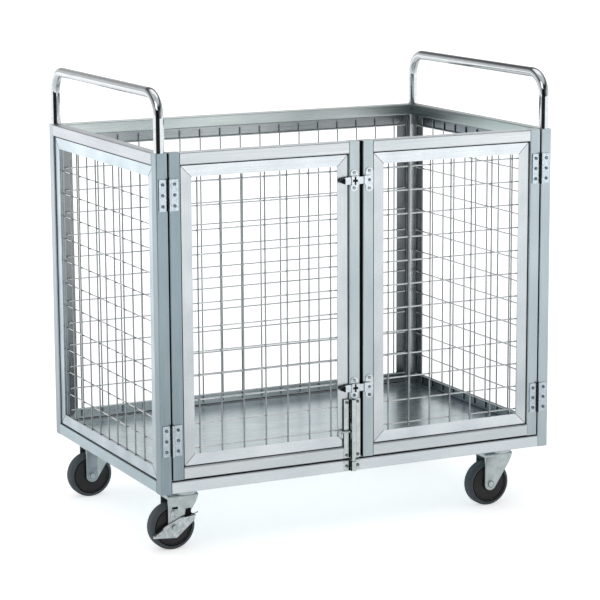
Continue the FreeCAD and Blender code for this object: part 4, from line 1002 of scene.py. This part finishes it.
# %% Forks: ribs and washers
RIB_HALF, RIB_TOP, RIB_THICK, RIB_ROUNDING = 12.2, 60, 0.8, 0.35
WASHER_RADIUS, WASHER_THICK, SHADOW_RING_RADIUS, SHADOW_RING_THICK, AXLE_HOLE = 9.5, 0.9, 7.6, 0.5, 4.2
FORK_FACE = -20.5
ROUND_STEPS = 14
rib_corners = [(RIB_HALF, RIB_TOP), (-RIB_HALF, RIB_TOP)]
for step in range(ROUND_STEPS + 1):
    angle = math.pi + math.pi * step / ROUND_STEPS
    rib_corners.append((RIB_HALF * math.cos(angle), RIB_HALF * math.sin(angle)))
rib_face = FORK_FACE - RIB_THICK
rib = plate("fork_rib", rib_corners, FORK_FACE, RIB_THICK, RIB_ROUNDING)
washer = ring("axle_washer", WASHER_RADIUS, AXLE_HOLE, rib_face, WASHER_THICK)
# Painted shadow: a black ring on the washer round the axle head.
shadow_ring = ring("axle_shadow_ring", SHADOW_RING_RADIUS, AXLE_HOLE, rib_face - WASHER_THICK, SHADOW_RING_THICK)
# The rear left rib's darker zinc is painted shade.
for corner, rib_finish in (("front_right", zinc_plate), ("rear_left", rib_zinc)):
    for source, finish in ((rib, rib_finish), (washer, zinc_plate), (shadow_ring, black_plastic_and_shade)):
        piece = copies(source, f"{corner}_{source.name}", [wheel_middle[corner]])
        seat(piece, finish, f"{corner}_caster")
for source in (rib, washer, shadow_ring):
    bpy.data.objects.remove(source)

# %% [markdown]
# ## Brakes
# The pedal is a pressed rocker on the axle bolt. A sheet strap on the fork springs it back, a black release
# lever shows above it, and a bright line along its fold is a painted highlight. All are flat, so they are
# plates like the ribs.
# The strap stays with the fork; lever and line move with the pedal.

# %% Brakes: spring straps, release levers and fold highlights
PEDAL_BACK, PEDAL_FACE = -20.8, -23.3
STRAP_THICK, STRAP_ROUNDING, FOLD_THICK, FOLD_ROUNDING = 1.2, 0.4, 0.3, 0.1
LEVER_GAP, LEVER_THICK, LEVER_ROUNDING = 0.2, 2.1, 0.5
STRAP = [(-6.5, 37.5), (9.8, 35), (7, 24), (2, 21), (-9, 21)]
LEVER = [(13, 20.5), (24, 24), (26, 36.5), (36, 38), (37, 26.5), (45, 26), (52, 29), (52, 27), (44, 24.4)]
lever_back = PEDAL_BACK - LEVER_GAP
# Painted highlight: a bright strip along the pedal's fold.
FOLD = [(10.5, 18.5), (17.5, 20), (27.5, 3.5), (22.5, 0.5)]
brake_pieces = (
    (plate("spring_strap", STRAP, FORK_FACE, STRAP_THICK, STRAP_ROUNDING), pedal_zinc, "caster"),
    (plate("release_lever", LEVER, lever_back, LEVER_THICK, LEVER_ROUNDING), black_plastic_and_shade, "brake"),
    (plate("fold_highlight", FOLD, PEDAL_FACE, FOLD_THICK, FOLD_ROUNDING), tumbled_steel, "brake"),
)
for source, finish, body in brake_pieces:
    for corner in BRAKED:
        piece = copies(source, f"{corner}_{source.name}", [wheel_middle[corner]])
        seat(piece, finish, f"{corner}_{body}")
    bpy.data.objects.remove(source)
